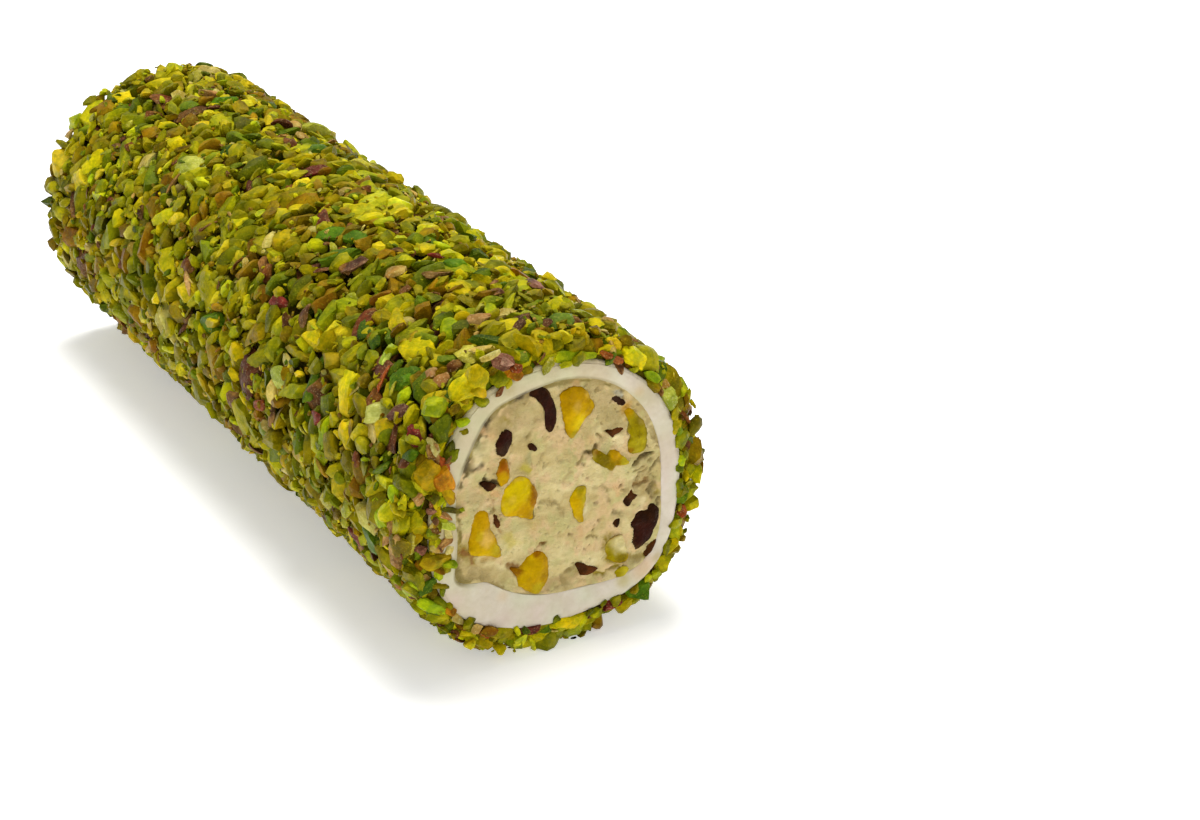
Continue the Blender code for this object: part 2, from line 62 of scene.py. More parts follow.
Triple = tuple[float, float, float]
Span = tuple[float, float]
# A nut piece's colours: inside, where it broke, and on its own outer side.
Shade = tuple[Colour, Colour]

MM = 0.001
TURN = 2.0 * math.pi
log = logging.getLogger("pistachio_roll")


def linear(colour: Colour | Array) -> Array:
    """Turns screen colours from 0 to 255 into the linear values that shaders use."""
    share = np.asarray(colour, float) / 255.0
    return np.where(share <= 0.04045, share / 12.92, ((share + 0.055) / 1.055) ** 2.4)


def smooth_step(value: Array, low: float, high: float) -> Array:
    """Rises smoothly from 0 to 1 as a value goes from low to high."""
    share = np.clip((value - low) / (high - low), 0.0, 1.0)
    return share * share * (3.0 - 2.0 * share)


def columns(*parts: Array | float) -> Array:
    """Sets columns side by side; a plain number fills its whole column."""
    return np.stack(np.broadcast_arrays(*parts), axis=1)


def paint(tint: Array, colour: Colour, share: Array) -> Array:
    """Lays a screen colour over linear colours, by a share from 0 to 1 for each point."""
    over = share[:, None]
    return tint * (1.0 - over) + linear(colour) * over


def rows_of(kind: type, *rows: tuple) -> tuple:
    """A table: each row made into an object of the same kind."""
    return tuple(kind(*row) for row in rows)


class ValueNoise:
    """Smooth seeded noise over points in space."""

    SIDE = 32

    def __init__(self, seed: int) -> None:
        """Fills the lattice."""
        shape = (self.SIDE, self.SIDE, self.SIDE)
        self.lattice = np.random.default_rng(seed).uniform(-1.0, 1.0, shape)

    def at(self, points: Array, cell: float) -> Array:
        """Reads the noise at points.

        Args:
            points: Points as rows of x, y and z.
            cell: The size of one lattice cell, in the points' units.

        Returns:
            One value for each point, from -1 to 1.
        """
        spot = points / cell
        base = np.floor(spot).astype(int)
        part = spot - base
        part = part * part * (3.0 - 2.0 * part)
        total = np.zeros(len(points))
        for corner in itertools.product((0, 1), repeat=3):
            index = (base + corner) % self.SIDE
            weight = np.where(corner, part, 1.0 - part).prod(axis=1)
            total += weight * self.lattice[index[:, 0], index[:, 1], index[:, 2]]
        return total

    def aside(self, points: Array, cell: float, offset: float) -> Array:
        """A push aside in x and z for each point, from -1 to 1."""
        return columns(self.at(points, cell), self.at(points + offset, cell))


@dataclass(frozen=True)
class Swell:
    """A rise of an outline about one direction, in degrees from +X towards +Z."""

    angle: float
    height: float
    width: float

    def rise(self, angle: Array) -> Array:
        """How far it lifts the outline in each direction."""
        turn = (np.degrees(angle) - self.angle + 180.0) % 360.0 - 180.0
        return self.height * np.exp(-((turn / self.width) ** 2))


@dataclass(frozen=True)
class Outline:
    """A rounded section: a circle about (x, z) with a few swells."""

    x: float
    z: float
    radius: float
    swells: tuple[Swell, ...]

    def reach(self, angle: Array) -> Array:
        """The radius in each direction."""
        return self.radius + sum(swell.rise(angle) for swell in self.swells)

    def ring(self, angle: Array, grow: Array | float = 0.0, scale: Array | float = 1.0) -> Array:
        """The points in some directions, in rows of x and z, grown and then scaled."""
        reach = (self.reach(angle) + grow) * scale
        return columns(self.x + reach * np.cos(angle), self.z + reach * np.sin(angle))


@dataclass(frozen=True)
class RollForm:
    """The sizes of the roll that its layers share."""

    white: Outline = Outline(
        0.0, 0.3, 18.3, (Swell(-45, 2.1, 22), Swell(-138, 1.4, 26), Swell(166, -0.4, 24))
    )
    filling: Outline = Outline(
        0.3,
        1.3,
        15.0,
        (
            Swell(-46, 3.8, 24),
            Swell(-149, 2.9, 12),
            Swell(126, 1.0, 14),
            Swell(-138, -0.6, 7),
            Swell(-156, -0.45, 6),
        ),
    )
    face_y: float = 67.0
    crest: float = 22.5
    floor_z: float = -22.0
    gap: float = 0.3
    core: float = 20.9
    shoulder_length: float = 7.5
    shoulder_drop: float = 1.5
    cut_wall: float = 1.3
    least_wall: float = 0.7
    foot_rise: float = 2.3
    foot_width: float = 12.0
    cad_sides: int = 36

    def bore(self, angle: Array) -> Array:
        """The distance from the roll's axis to the hollow that the coat wraps."""
        ring = self.white.ring(angle, grow=self.gap)
        return np.hypot(ring[:, 0], ring[:, 1])

    def core_reach(self, angle: Array, y: Array, height: Array | float) -> Array:
        """The coat's radius: lower at its shoulders, with a foot underneath.

        Args:
            angle: Directions in radians.
            y: Places along the roll.
            height: How far a point stands off the core.

        Returns:
            Radii in millimetres.
        """
        into = np.maximum(0.0, self.shoulder_length - (self.face_y - np.abs(y)))
        into = into / self.shoulder_length
        bore = self.bore(angle)
        base = np.maximum(self.core - self.shoulder_drop * into**2, bore + self.cut_wall)
        below = (np.degrees(angle) + 270.0) % 360.0 - 180.0
        foot = self.foot_rise * np.exp(-((below / self.foot_width) ** 4))
        foot = foot * np.clip(1.0 - into, 0.0, 1.0)
        return np.maximum(base + height, bore + self.least_wall) + foot

    def place(self) -> Vector:
        """Where the frame holds the roll's axis, from its white layer's box.

        Returns:
            The middle of the roll's axis, in metres.
        """
        low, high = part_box("white_layer")
        ring = self.white.ring(TURN * np.arange(self.cad_sides) / self.cad_sides)
        middle = (ring.min(axis=0) + ring.max(axis=0)) / 2.0 * MM
        centre = (low + high) / 2.0
        return Vector((centre.x - middle[0], centre.y, centre.z - middle[1]))


@dataclass
class Skin:
    """A closed skin of triangles in millimetres, with the values that its material reads."""

    points: Array
    triangles: Array
    values: dict[str, Array] = field(default_factory=dict)

    @staticmethod
    def joined(parts: list["Skin"]) -> "Skin":
        """Gathers several skins into one.

        Args:
            parts: The skins, which all hold the same values.

        Returns:
            One skin with every part's points, triangles and values.
        """
        starts = np.cumsum([0] + [len(part.points) for part in parts[:-1]])
        triangles = [part.triangles + start for part, start in zip(parts, starts)]
        values = {
            name: np.concatenate([part.values[name] for part in parts]) for name in parts[0].values
        }
        points = np.concatenate([part.points for part in parts])
        return Skin(points, np.concatenate(triangles), values)

    def facing_out(self) -> "Skin":
        """Turns the triangles to face outwards.

        Returns:
            The same skin, or a turned one.
        """
        corner = self.points[self.triangles]
        volume = np.einsum("ij,ij->i", corner[:, 0], np.cross(corner[:, 1], corner[:, 2])).sum()
        if volume >= 0.0:
            return self
        return Skin(self.points, self.triangles[:, ::-1], self.values)

    def piece(
        self, name: str, place: Vector, material: Material, crease: float
    ) -> Piece:
        """Makes the object of this skin.

        Args:
            name: The piece's name.
            place: The roll's axis in metres.
            material: What the piece is made of.
            crease: The angle between two faces, in degrees, from which their edge stays sharp.

        Returns:
            The new object, linked to the scene.
        """
        mesh = bpy.data.meshes.new(name)
        count = len(self.triangles)
        mesh.vertices.add(len(self.points))
        spots = self.points * MM + np.array(place)
        mesh.vertices.foreach_set("co", spots.astype(np.float32).ravel())
        mesh.loops.add(3 * count)
        mesh.loops.foreach_set("vertex_index", self.triangles.astype(np.int32).ravel())
        mesh.polygons.add(count)
        mesh.polygons.foreach_set("loop_start", np.arange(0, 3 * count, 3, dtype=np.int32))
        mesh.update(calc_edges=True)
        for label, value in self.values.items():
            self._store(mesh, label, value)
        mesh.shade_smooth()
        mesh.set_sharp_from_angle(angle=math.radians(crease))
        mesh.materials.append(material)
        mesh.validate()
        made = bpy.data.objects.new(name, mesh)
        bpy.context.scene.collection.objects.link(made)
        return made

    @staticmethod
    def _store(mesh: bpy.types.Mesh, label: str, value: Array) -> None:
        """Keeps three numbers of each point on the mesh.

        Args:
            mesh: The mesh that gets them.
            label: Their name, which the materials use.
            value: A row of three for each point.
        """
        kind, part = "FLOAT_VECTOR", "vector"
        if label == "tint":
            kind, part = "FLOAT_COLOR", "color"
            value = np.concatenate([value, np.ones((len(value), 1))], axis=1)
        kept = mesh.attributes.new(label, kind, "POINT")
        kept.data.foreach_set(part, value.astype(np.float32).ravel())


def loft(rings: list[Array], closes: bool = False) -> Skin:
    """A skin over rings with the same number of points.

    Args:
        rings: The rings, each with rows of x, y and z.
        closes: Whether the last ring joins the first, as in a tube bent round on itself.

    Returns:
        The skin. If it doesn't close on itself, its two end rings are left open.
    """
    around = len(rings[0])
    near = np.arange(around)
    after = (near + 1) % around
    triangles = []
    for step in range(len(rings) if closes else len(rings) - 1):
        low, high = step * around, (step + 1) % len(rings) * around
        triangles.append(columns(low + near, low + after, high + after))
        triangles.append(columns(low + near, high + after, high + near))
    return Skin(np.concatenate(rings), np.concatenate(triangles))


class Canvas:
    """A node tree that is being laid out, of a material or of a shared effect."""

    def __init__(self, tree: Tree) -> None:
        """Takes the tree to lay out."""
        self.tree = tree

    def feed(self, socket: Socket, value: object) -> None:
        """Links a socket to another, or sets its number.

        Args:
            socket: The input socket.
            value: An output socket, or the number, colour or vector to set.
        """
        if isinstance(value, Socket):
            self.tree.links.new(value, socket)
        else:
            socket.default_value = value

    def node(
        self, kind: str, settings: dict[str, object] | None = None, **inputs: object
    ) -> bpy.types.Node:
        """Adds a node.

        Args:
            kind: Blender's name for the node's type.
            settings: The node's own options.
            **inputs: What feeds each input, named as Blender does with _ for a space.

        Returns:
            The new node.
        """
        made = self.tree.nodes.new(kind)
        for name, value in (settings or {}).items():
            setattr(made, name, value)
        for name, value in inputs.items():
            self.feed(made.inputs[name.replace("_", " ")], value)
        return made

    def read(self, label: str, output: str) -> Socket:
        """Reads one of the values kept on a piece's points."""
        return self.node("ShaderNodeAttribute", {"attribute_name": label}).outputs[output]

    def calculate(self, operation: str, *values: object) -> Socket:
        """Adds a Math node.

        Args:
            operation: What it does, as Blender names it.
            *values: Its inputs in order.

        Returns:
            The socket with the result.
        """
        made = self.node("ShaderNodeMath", {"operation": operation})
        for socket, value in zip(made.inputs, values):
            self.feed(socket, value)
        return made.outputs[0]

    def ease(self, value: Socket, low: float, high: float) -> Socket:
        """Spreads the values from low to high over 0 to 1, with soft ends."""
        soft = {"interpolation_type": "SMOOTHSTEP"}
        return self.node("ShaderNodeMapRange", soft, Value=value, From_Min=low, From_Max=high).outputs[0]

    def colours(self, mode: str, factor: object, low: object, high: object) -> Socket:
        """Mixes two colours.

        Args:
            mode: How they mix, as Blender names it.
            factor: How much of the second shows.
            low: The first colour.
            high: The second colour.

        Returns:
            The socket with the mixed colour.
        """
        made = self.node("ShaderNodeMix", {"data_type": "RGBA", "blend_type": mode})
        self.feed(made.inputs[0], factor)
        self.feed(made.inputs[6], low)
        self.feed(made.inputs[7], high)
        return made.outputs[2]


class Effect(Enum):
    """The shared effects: what each gives, and what it takes besides Vector with the usual values."""

    MOTTLE = ("Color", {"Scale": 1.0, "Low": (0.8, 0.8, 0.8, 1.0), "High": (1.1, 1.1, 1.1, 1.0)})
    SPECKLE = ("Mask", {"Scale": 4.0, "Share": 0.3})
    FIBRE = ("Mask", {"Scale": 3.0, "Stretch": 0.2})
    CRUMB = ("Height", {"Scale": 3.0})
    GLOSS = ("Roughness", {"Scale": 1.0, "Low": 0.35, "High": 0.6})


class Effects:
    """The effects that several finishes share, each a node group that is built once."""

    def __init__(self) -> None:
        """Starts with no group built."""
        self._built: dict[Effect, Tree] = {}

    def place(self, canvas: Canvas, effect: Effect, **inputs: object) -> Socket:
        """Places an effect in a material.

        Args:
            canvas: The material's canvas.
            effect: The effect.
            **inputs: What feeds its inputs, where they aren't left as usual.

        Returns:
            The socket with what it gives.
        """
        if effect not in self._built:
            self._built[effect] = self._group(effect)
        group = {"node_tree": self._built[effect]}
        return canvas.node("ShaderNodeGroup", group, **inputs).outputs[effect.value[0]]

    def _group(self, effect: Effect) -> Tree:
        """Builds an effect's group, with its inputs, its nodes and its output.

        Args:
            effect: The effect.

        Returns:
            The group.
        """
        gives, takes = effect.value
        tree = bpy.data.node_groups.new(effect.name.lower(), "ShaderNodeTree")
        tree.interface.new_socket(name="Vector", in_out="INPUT", socket_type="NodeSocketVector")
        for label, usual in takes.items():
            kind = "NodeSocketColor" if isinstance(usual, tuple) else "NodeSocketFloat"
            socket = tree.interface.new_socket(name=label, in_out="INPUT", socket_type=kind)
            socket.default_value = usual
        kind = "NodeSocketColor" if effect is Effect.MOTTLE else "NodeSocketFloat"
        tree.interface.new_socket(name=gives, in_out="OUTPUT", socket_type=kind)
        canvas = Canvas(tree)
        outputs = canvas.node("NodeGroupInput").outputs
        given = {label: outputs[label] for label in ("Vector", *takes)}
        lay = {
            Effect.MOTTLE: self._mottle,
            Effect.SPECKLE: self._speckle,
            Effect.FIBRE: self._fibre,
            Effect.CRUMB: self._crumb,
            Effect.GLOSS: self._gloss,
        }[effect]
        canvas.feed(canvas.node("NodeGroupOutput").inputs[gives], lay(canvas, given))
        return tree

    @staticmethod
    def _mottle(canvas: Canvas, given: dict[str, Socket]) -> Socket:
        """Soft patches that run between two colours, at two sizes.

        Args:
            canvas: The group's canvas.
            given: The group's inputs.

        Returns:
            The socket with the colour.
        """
        where, scale = given["Vector"], given["Scale"]
        broad = canvas.node("ShaderNodeTexNoise", Vector=where, Scale=scale, Detail=2.0)
        finer = canvas.calculate("MULTIPLY", scale, 3.7)
        fine = canvas.node("ShaderNodeTexNoise", Vector=where, Scale=finer, Detail=3.0)
        both = canvas.calculate("MULTIPLY", broad.outputs["Fac"], 0.6)
        both = canvas.calculate("MULTIPLY_ADD", fine.outputs["Fac"], 0.4, both)
        return canvas.colours("MIX", canvas.ease(both, 0.34, 0.66), given["Low"], given["High"])

    @staticmethod
    def _speckle(canvas: Canvas, given: dict[str, Socket]) -> Socket:
        """Small separate specks.

        Args:
            canvas: The group's canvas.
            given: The group's inputs.

        Returns:
            The socket with the mask.
        """
        where, scale = given["Vector"], given["Scale"]
        cells = canvas.node("ShaderNodeTexVoronoi", Vector=where, Scale=scale)
        patch = canvas.node("ShaderNodeTexNoise", Vector=where, Scale=scale, Detail=1.0)
        reach = canvas.calculate("MULTIPLY", patch.outputs["Fac"], given["Share"])
        inside = canvas.calculate("SUBTRACT", reach, cells.outputs["Distance"])
        return canvas.ease(inside, -0.06, 0.06)

    @staticmethod
    def _fibre(canvas: Canvas, given: dict[str, Socket]) -> Socket:
        """Fine streaks along a piece's long side.

        Args:
            canvas: The group's canvas.
            given: The group's inputs.

        Returns:
            The socket with the mask.
        """
        parts = canvas.node("ShaderNodeSeparateXYZ", Vector=given["Vector"]).outputs
        along = canvas.calculate("MULTIPLY", parts["X"], given["Stretch"])
        spot = canvas.node("ShaderNodeCombineXYZ", X=along, Y=parts["Y"], Z=parts["Z"])
        inputs = {"Vector": spot.outputs["Vector"], "Scale": given["Scale"]}
        streaks = canvas.node("ShaderNodeTexNoise", **inputs, Detail=3.0, Roughness=0.6)
        return canvas.ease(streaks.outputs["Fac"], 0.38, 0.64)

    @staticmethod
    def _crumb(canvas: Canvas, given: dict[str, Socket]) -> Socket:
        """The low relief of a crumbly, broken surface.

        Args:
            canvas: The group's canvas.
            given: The group's inputs.

        Returns:
            The socket with the height.
        """
        lumps = canvas.node("ShaderNodeTexNoise", **given, Detail=5.0, Roughness=0.62)
        finer = canvas.calculate("MULTIPLY", given["Scale"], 2.3)
        grains = canvas.node("ShaderNodeTexVoronoi", Vector=given["Vector"], Scale=finer)
        distance = grains.outputs["Distance"]
        return canvas.calculate("MULTIPLY_ADD", distance, -0.35, lumps.outputs["Fac"])

    @staticmethod
    def _gloss(canvas: Canvas, given: dict[str, Socket]) -> Socket:
        """Roughness that wanders between two values in patches.

        Args:
            canvas: The group's canvas.
            given: The group's inputs.

        Returns:
            The socket with the roughness.
        """
        inputs = {"Vector": given["Vector"], "Scale": given["Scale"]}
        patch = canvas.node("ShaderNodeTexNoise", **inputs, Detail=3.0)
        share = canvas.ease(patch.outputs["Fac"], 0.35, 0.65)
        span = canvas.calculate("SUBTRACT", given["High"], given["Low"])
        return canvas.calculate("MULTIPLY_ADD", share, span, given["Low"])


@dataclass(frozen=True)
class SweetFinish:
    """A finish of nut or sweet: the tint kept on a piece, with patches, streaks, specks and crumb."""

    name: str
    slot: str
    gloss: Span = (0.38, 0.6)
    gloss_patches: float = 1.6
    patch_scale: float = 0.8
    patch_low: Triple = (0.8, 0.8, 0.78)
    patch_high: Triple = (1.1, 1.1, 1.08)
    streak: float = 0.0
    streak_tone: Triple = (0.78, 0.74, 0.6)
    speck_scale: float = 3.0
    speck_share: float = 0.5
    speck: float = 0.0
    speck_colour: Colour = (225, 215, 150)
    crumb_scale: float = 2.0
    crumb_depth: float = 0.08
    subsurface: float = 0.0
    depth: Triple = (1.0, 0.8, 0.3)
    depth_scale: float = 0.8
    specular: float = 0.2
    specular_tone: Triple = (1.0, 0.88, 0.18)

    def material(self, effects: Effects) -> Material:
        """Lays out the finish's nodes.

        Args:
            effects: The shared effects.

        Returns:
            The new material.
        """
        made = bpy.data.materials.new(self.name)
        made.use_nodes = True
        canvas = Canvas(made.node_tree)
        grain = canvas.read("grain", "Vector")
        patches = {"Vector": grain, "Scale": self.patch_scale * self.gloss_patches}
        gloss = effects.place(canvas, Effect.GLOSS, **patches, Low=self.gloss[0], High=self.gloss[1])
        crumb = effects.place(canvas, Effect.CRUMB, Vector=grain, Scale=self.crumb_scale)
        depth = self.crumb_depth * MM
        bump = canvas.node("ShaderNodeBump", Height=crumb, Strength=1.0, Distance=depth)
        inputs = {
            "Base Color": self._colour(canvas, effects, grain),
            "Roughness": gloss,
            "Normal": bump.outputs["Normal"],
            "Specular IOR Level": self.specular,
            "Specular Tint": (*self.specular_tone, 1.0),
            "Subsurface Weight": self.subsurface,
            "Subsurface Radius": self.depth,
            "Subsurface Scale": self.depth_scale * MM,
        }
        for name, value in inputs.items():
            canvas.feed(made.node_tree.nodes["Principled BSDF"].inputs[name], value)
        return made

    def _colour(self, canvas: Canvas, effects: Effects, grain: Socket) -> Socket:
        """Works the tint over with patches, streaks and specks.

        Args:
            canvas: The material's canvas.
            effects: The shared effects.
            grain: The place within the piece, in millimetres.

        Returns:
            The socket with the colour.
        """
        tones = {"Low": (*self.patch_low, 1.0), "High": (*self.patch_high, 1.0)}
        patches = effects.place(canvas, Effect.MOTTLE, Vector=grain, Scale=self.patch_scale, **tones)
        colour = canvas.colours("MULTIPLY", 1.0, canvas.read("tint", "Color"), patches)
        if self.streak:
            streaks = effects.place(canvas, Effect.FIBRE, Vector=grain)
            share = canvas.calculate("MULTIPLY", streaks, self.streak)
            colour = canvas.colours("MULTIPLY", share, colour, (*self.streak_tone, 1.0))
        if self.speck:
            sizes = {"Scale": self.speck_scale, "Share": self.speck_share}
            specks = effects.place(canvas, Effect.SPECKLE, Vector=grain, **sizes)
            share = canvas.calculate("MULTIPLY", specks, self.speck)
            colour = canvas.colours("MIX", share, colour, (*linear(self.speck_colour), 1.0))
        return colour


NUT_FLESH = SweetFinish(
    "chopped_nut", "chopped_pistachio", gloss=(0.32, 0.56), specular=0.13,
    patch_scale=0.55, patch_low=(0.6, 0.7, 0.55), patch_high=(1.26, 1.18, 1.0),
    streak=0.6, streak_tone=(0.74, 0.74, 0.5), speck=0.14, speck_colour=(206, 196, 40),
    crumb_scale=2.2, crumb_depth=0.1,
)
# The pale specks and bright patches of this finish are painted highlights on the skins.
NUT_SKIN = SweetFinish(
    "nut_skin", "chopped_pistachio", gloss=(0.38, 0.62), specular=0.16,
    patch_low=(0.55, 0.5, 0.45), patch_high=(1.5, 1.45, 1.35),
    streak=0.7, streak_tone=(0.6, 0.5, 0.45), speck=0.35, speck_colour=(184, 158, 112),
    crumb_scale=3.0,
)
NUT_PALE = SweetFinish(
    "pale_nut", "chopped_pistachio", gloss=(0.3, 0.52),
    patch_low=(0.66, 0.68, 0.5), patch_high=(1.15, 1.15, 1.1),
    streak=0.55, streak_tone=(0.82, 0.76, 0.45), speck=0.25, speck_colour=(226, 218, 160),
    crumb_depth=0.09,
)
NUT_BED = SweetFinish(
    "ground_nut_gap_shade", "chopped_pistachio", gloss=(0.5, 0.7), specular=0.1,
    patch_scale=0.6, patch_low=(0.5, 0.5, 0.42), patch_high=(1.4, 1.36, 1.2),
    speck=0.3, speck_scale=2.0, speck_colour=(140, 128, 20), crumb_scale=1.4, crumb_depth=0.25,
)
WHITE_SWEET = SweetFinish(
    "white_sweet", "white_sweet", gloss=(0.32, 0.5), specular=0.25, specular_tone=(1.0, 0.98, 0.94),
    patch_scale=0.3, patch_low=(0.93, 0.91, 0.86), patch_high=(1.03, 1.03, 1.03),
    speck=0.16, speck_scale=1.0, speck_share=0.55, speck_colour=(196, 186, 150),
    crumb_scale=0.7, crumb_depth=0.14, subsurface=0.25, depth=(1.0, 0.9, 0.7), depth_scale=0.9,
)
NOUGAT = SweetFinish(
    "nougat", "nougat", gloss=(0.5, 0.72), specular_tone=(1.0, 0.96, 0.85),
    patch_scale=0.4, patch_low=(0.9, 0.87, 0.8), patch_high=(1.05, 1.05, 1.06),
    speck=0.3, speck_scale=1.9, speck_share=0.36, speck_colour=(176, 156, 96),
    crumb_scale=1.6, crumb_depth=0.16, subsurface=0.2, depth=(1.0, 0.75, 0.45), depth_scale=0.6,
)
KERNEL = SweetFinish(
    "pistachio_kernel", "pistachio_kernel", gloss=(0.3, 0.5), specular=0.07,
    specular_tone=(1.0, 0.8, 0.04), patch_scale=0.6, patch_low=(0.84, 0.82, 0.7),
    patch_high=(1.1, 1.1, 1.05), streak=0.3, streak_tone=(0.86, 0.8, 0.6),
    speck=0.12, speck_scale=2.2, speck_colour=(210, 176, 16),
    crumb_scale=1.2, crumb_depth=0.1, subsurface=0.12, depth=(1.0, 0.7, 0.1), depth_scale=0.5,
)
DARK_SWEET = SweetFinish(
    "dark_chocolate", "dark_chocolate", gloss=(0.34, 0.6), specular=0.06,
    specular_tone=(1.0, 0.6, 0.3), patch_low=(0.65, 0.55, 0.5), patch_high=(1.35, 1.15, 1.05),
    speck=0.12, speck_scale=2.4, speck_share=0.4, speck_colour=(80, 50, 36),
    crumb_scale=1.6, crumb_depth=0.12,
)


class StainShadeAndHighlight(Enum):
    """The colours of the cracks, stains, painted shade and painted highlights that the cut nougat shows.
    """

    INK = (60, 48, 22)
    BARK = (92, 78, 36)
    MOSS = (120, 106, 48)
    SHADE = (148, 130, 80)
    DUN = (172, 153, 102)
    OLIVE = (146, 128, 34)
    RUST = (128, 86, 30)
    GREEN = (178, 164, 66)
    SAGE = (158, 152, 100)
    # Pale cream for painted highlights.
    PALE_HIGHLIGHT = (216, 200, 152)
    BLUSH = (208, 168, 116)
    # Bluish grey for a painted highlight.
    GREY_HIGHLIGHT = (170, 174, 160)
    AMBER = (182, 138, 40)


@dataclass
class WhiteLayer:
    """The soft white layer round the nougat, with rounded edges at both cuts.

    A stain is its x and z, its radius, its colour and its strength; the three large dull ones at its sides
    are painted shade.
    Along the inner edge, bands about one direction paint the shadow line where the layer meets the nougat.
    """

    form: RollForm
    sectors: int = 288
    shares: tuple[float, ...] = (0.07, 0.18, 0.34, 0.5, 0.66, 0.82)
    edge_rings: int = 4
    inner_round: float = 0.1
    outer_round: float = 0.5
    crown: float = 0.2
    inner_gap: float = -0.05
    grow: float = 0.15
    flare: Swell = Swell(124, 1.0, 24)
    flare_depth: float = 2.6
    seed: int = 31
    colour: Colour = (204, 195, 177)
    # The tone of its random warm patches, and of the painted shade that darkens it towards the upper left.
    warm_and_shade: Colour = (192, 182, 146)
    # Stains and tints on the front end; the three large dull patches at its left and right sides are
    # painted shade.
    stains_and_shade: tuple[tuple[float, float, float, StainShadeAndHighlight, float], ...] = (
        (12.6, -13.6, 2.6, StainShadeAndHighlight.BLUSH, 0.5), (9.6, -14.6, 1.5, StainShadeAndHighlight.GREEN, 0.5),
        (-8.4, -11.9, 1.2, StainShadeAndHighlight.BLUSH, 0.3), (6.5, -13.6, 1.0, StainShadeAndHighlight.DUN, 0.5),
        (11.9, 12.2, 1.0, StainShadeAndHighlight.BLUSH, 0.3), (-6.9, 16.7, 1.0, StainShadeAndHighlight.DUN, 0.5),
        (-14.8, 4.4, 1.2, StainShadeAndHighlight.BLUSH, 0.5), (-16.0, -1.0, 2.2, StainShadeAndHighlight.DUN, 0.6),
        (14.8, -12.6, 1.2, StainShadeAndHighlight.DUN, 0.6), (16.4, 4.0, 5.0, StainShadeAndHighlight.DUN, 0.25),
        (13.4, 11.6, 3.6, StainShadeAndHighlight.DUN, 0.2),
    )
    # Painted shadow line along the inner edge of the front end, where the layer meets the nougat.
    front_gap_shades: tuple[tuple[Swell, StainShadeAndHighlight], ...] = (
        (Swell(84, 0.6, 20), StainShadeAndHighlight.MOSS), (Swell(60, 0.35, 10), StainShadeAndHighlight.SHADE),
        (Swell(109, 0.85, 7), StainShadeAndHighlight.INK), (Swell(122, 0.6, 8), StainShadeAndHighlight.MOSS),
        (Swell(132, 0.7, 3), StainShadeAndHighlight.INK), (Swell(141, 0.6, 6), StainShadeAndHighlight.BARK),
        (Swell(152, 0.9, 6), StainShadeAndHighlight.BARK), (Swell(164, 0.8, 1.8), StainShadeAndHighlight.BARK),
        (Swell(196, 0.4, 10), StainShadeAndHighlight.SHADE), (Swell(212, 0.8, 6), StainShadeAndHighlight.MOSS),
    )
    # The same painted shadow line on the back end.
    back_gap_shades: tuple[tuple[Swell, StainShadeAndHighlight], ...] = (
        (Swell(74, 0.5, 22), StainShadeAndHighlight.MOSS), (Swell(118, 0.75, 14), StainShadeAndHighlight.BARK),
        (Swell(8, 0.4, 12), StainShadeAndHighlight.SHADE), (Swell(196, 0.6, 9), StainShadeAndHighlight.MOSS),
    )

    def _profile(self) -> list[Triple]:
        """One end's profile, from the inner wall over the cut edge to the outer wall.

        Returns:
            Rows of (share from the inner to the outer outline, shift outwards, rise over the cut
            plane).
        """
        middle = [(share, 0.0, self.crown * math.sin(math.pi * share)) for share in self.shares]
        leans = [math.radians(turn) for turn in (0.0, 30.0, 60.0, 90.0)]
        inner, outer = (
            [
                (share, way * size * (1.0 - math.cos(lean)), size * (math.sin(lean) - 1.0))
                for lean in leans
            ]
            for share, way, size in ((0.0, 1.0, self.inner_round), (1.0, -1.0, self.outer_round))
        )
        return inner + middle + outer[::-1] + [(1.0, 0.0, -self.flare_depth)]

    def _end(self, side: int, noise: ValueNoise) -> list[Array]:
        """The rings of one cut end.

        Args:
            side: -1 for the front end, 1 for the back.
            noise: What makes the soft layer uneven.

        Returns:
            Rings from the inner wall to the outer one.
        """
        angle = TURN * np.arange(self.sectors) / self.sectors
        inner = self.form.filling.ring(angle, grow=self.inner_gap)
        across = self.form.white.ring(angle, grow=self.grow) - inner
        outwards = across / np.linalg.norm(across, axis=1, keepdims=True)
        rings = []
        for share, shift, rise in self._profile():
            spot = inner + across * share + outwards * shift
            if side < 0 and rise > -self.flare_depth:
                spot += outwards * (share * self.flare.rise(angle))[:, None]
            ring = columns(spot[:, 0], side * (self.form.face_y + rise), spot[:, 1])
            for height, cell in ((0.09, 2.6), (0.04, 0.9)):
                ring[:, 1] += side * height * noise.at(ring, cell)
            for axis, offset in ((0, 50.0), (2, 90.0)):
                ring[:, axis] += 0.1 * noise.at(ring + offset, 3.1) * share
            rings.append(ring)
        return rings

    def build(self, place: Vector, effects: Effects) -> Piece:
        """Makes the layer.

        Args:
            place: The roll's axis in metres.
            effects: The shared effects.

        Returns:
            The layer's object.
        """
        noise = ValueNoise(self.seed)
        rings = self._end(-1, noise) + self._end(1, noise)[::-1]
        skin = loft(rings, closes=True).facing_out()
        points = skin.points
        # Warmer and darker towards the upper left, which is painted shade, and in random patches, which
        # are the layer's own tone.
        lean = (points[:, 2] - points[:, 0]) / 18.0
        warm_and_shade_share = smooth_step(0.7 * noise.at(points, 5.0) + lean, -0.9, 1.1)
        hue = 0.045 * noise.at(points + 37.0, 2.4)[:, None]
        tint = paint(linear(self.colour), self.warm_and_shade, warm_and_shade_share) * (1.0 + hue * [1.0, -1.0, 1.2])
        # Stains and tints on the front end, with painted shade in the three large dull patches.
        for x, z, radius, mark_tone, strength in self.stains_and_shade:
            apart = np.hypot(points[:, 0] - x, points[:, 2] - z) / radius
            share = strength * smooth_step(-apart, -1.1, -0.2) * (points[:, 1] < 0.0)
            tint = paint(tint, mark_tone.value, share)
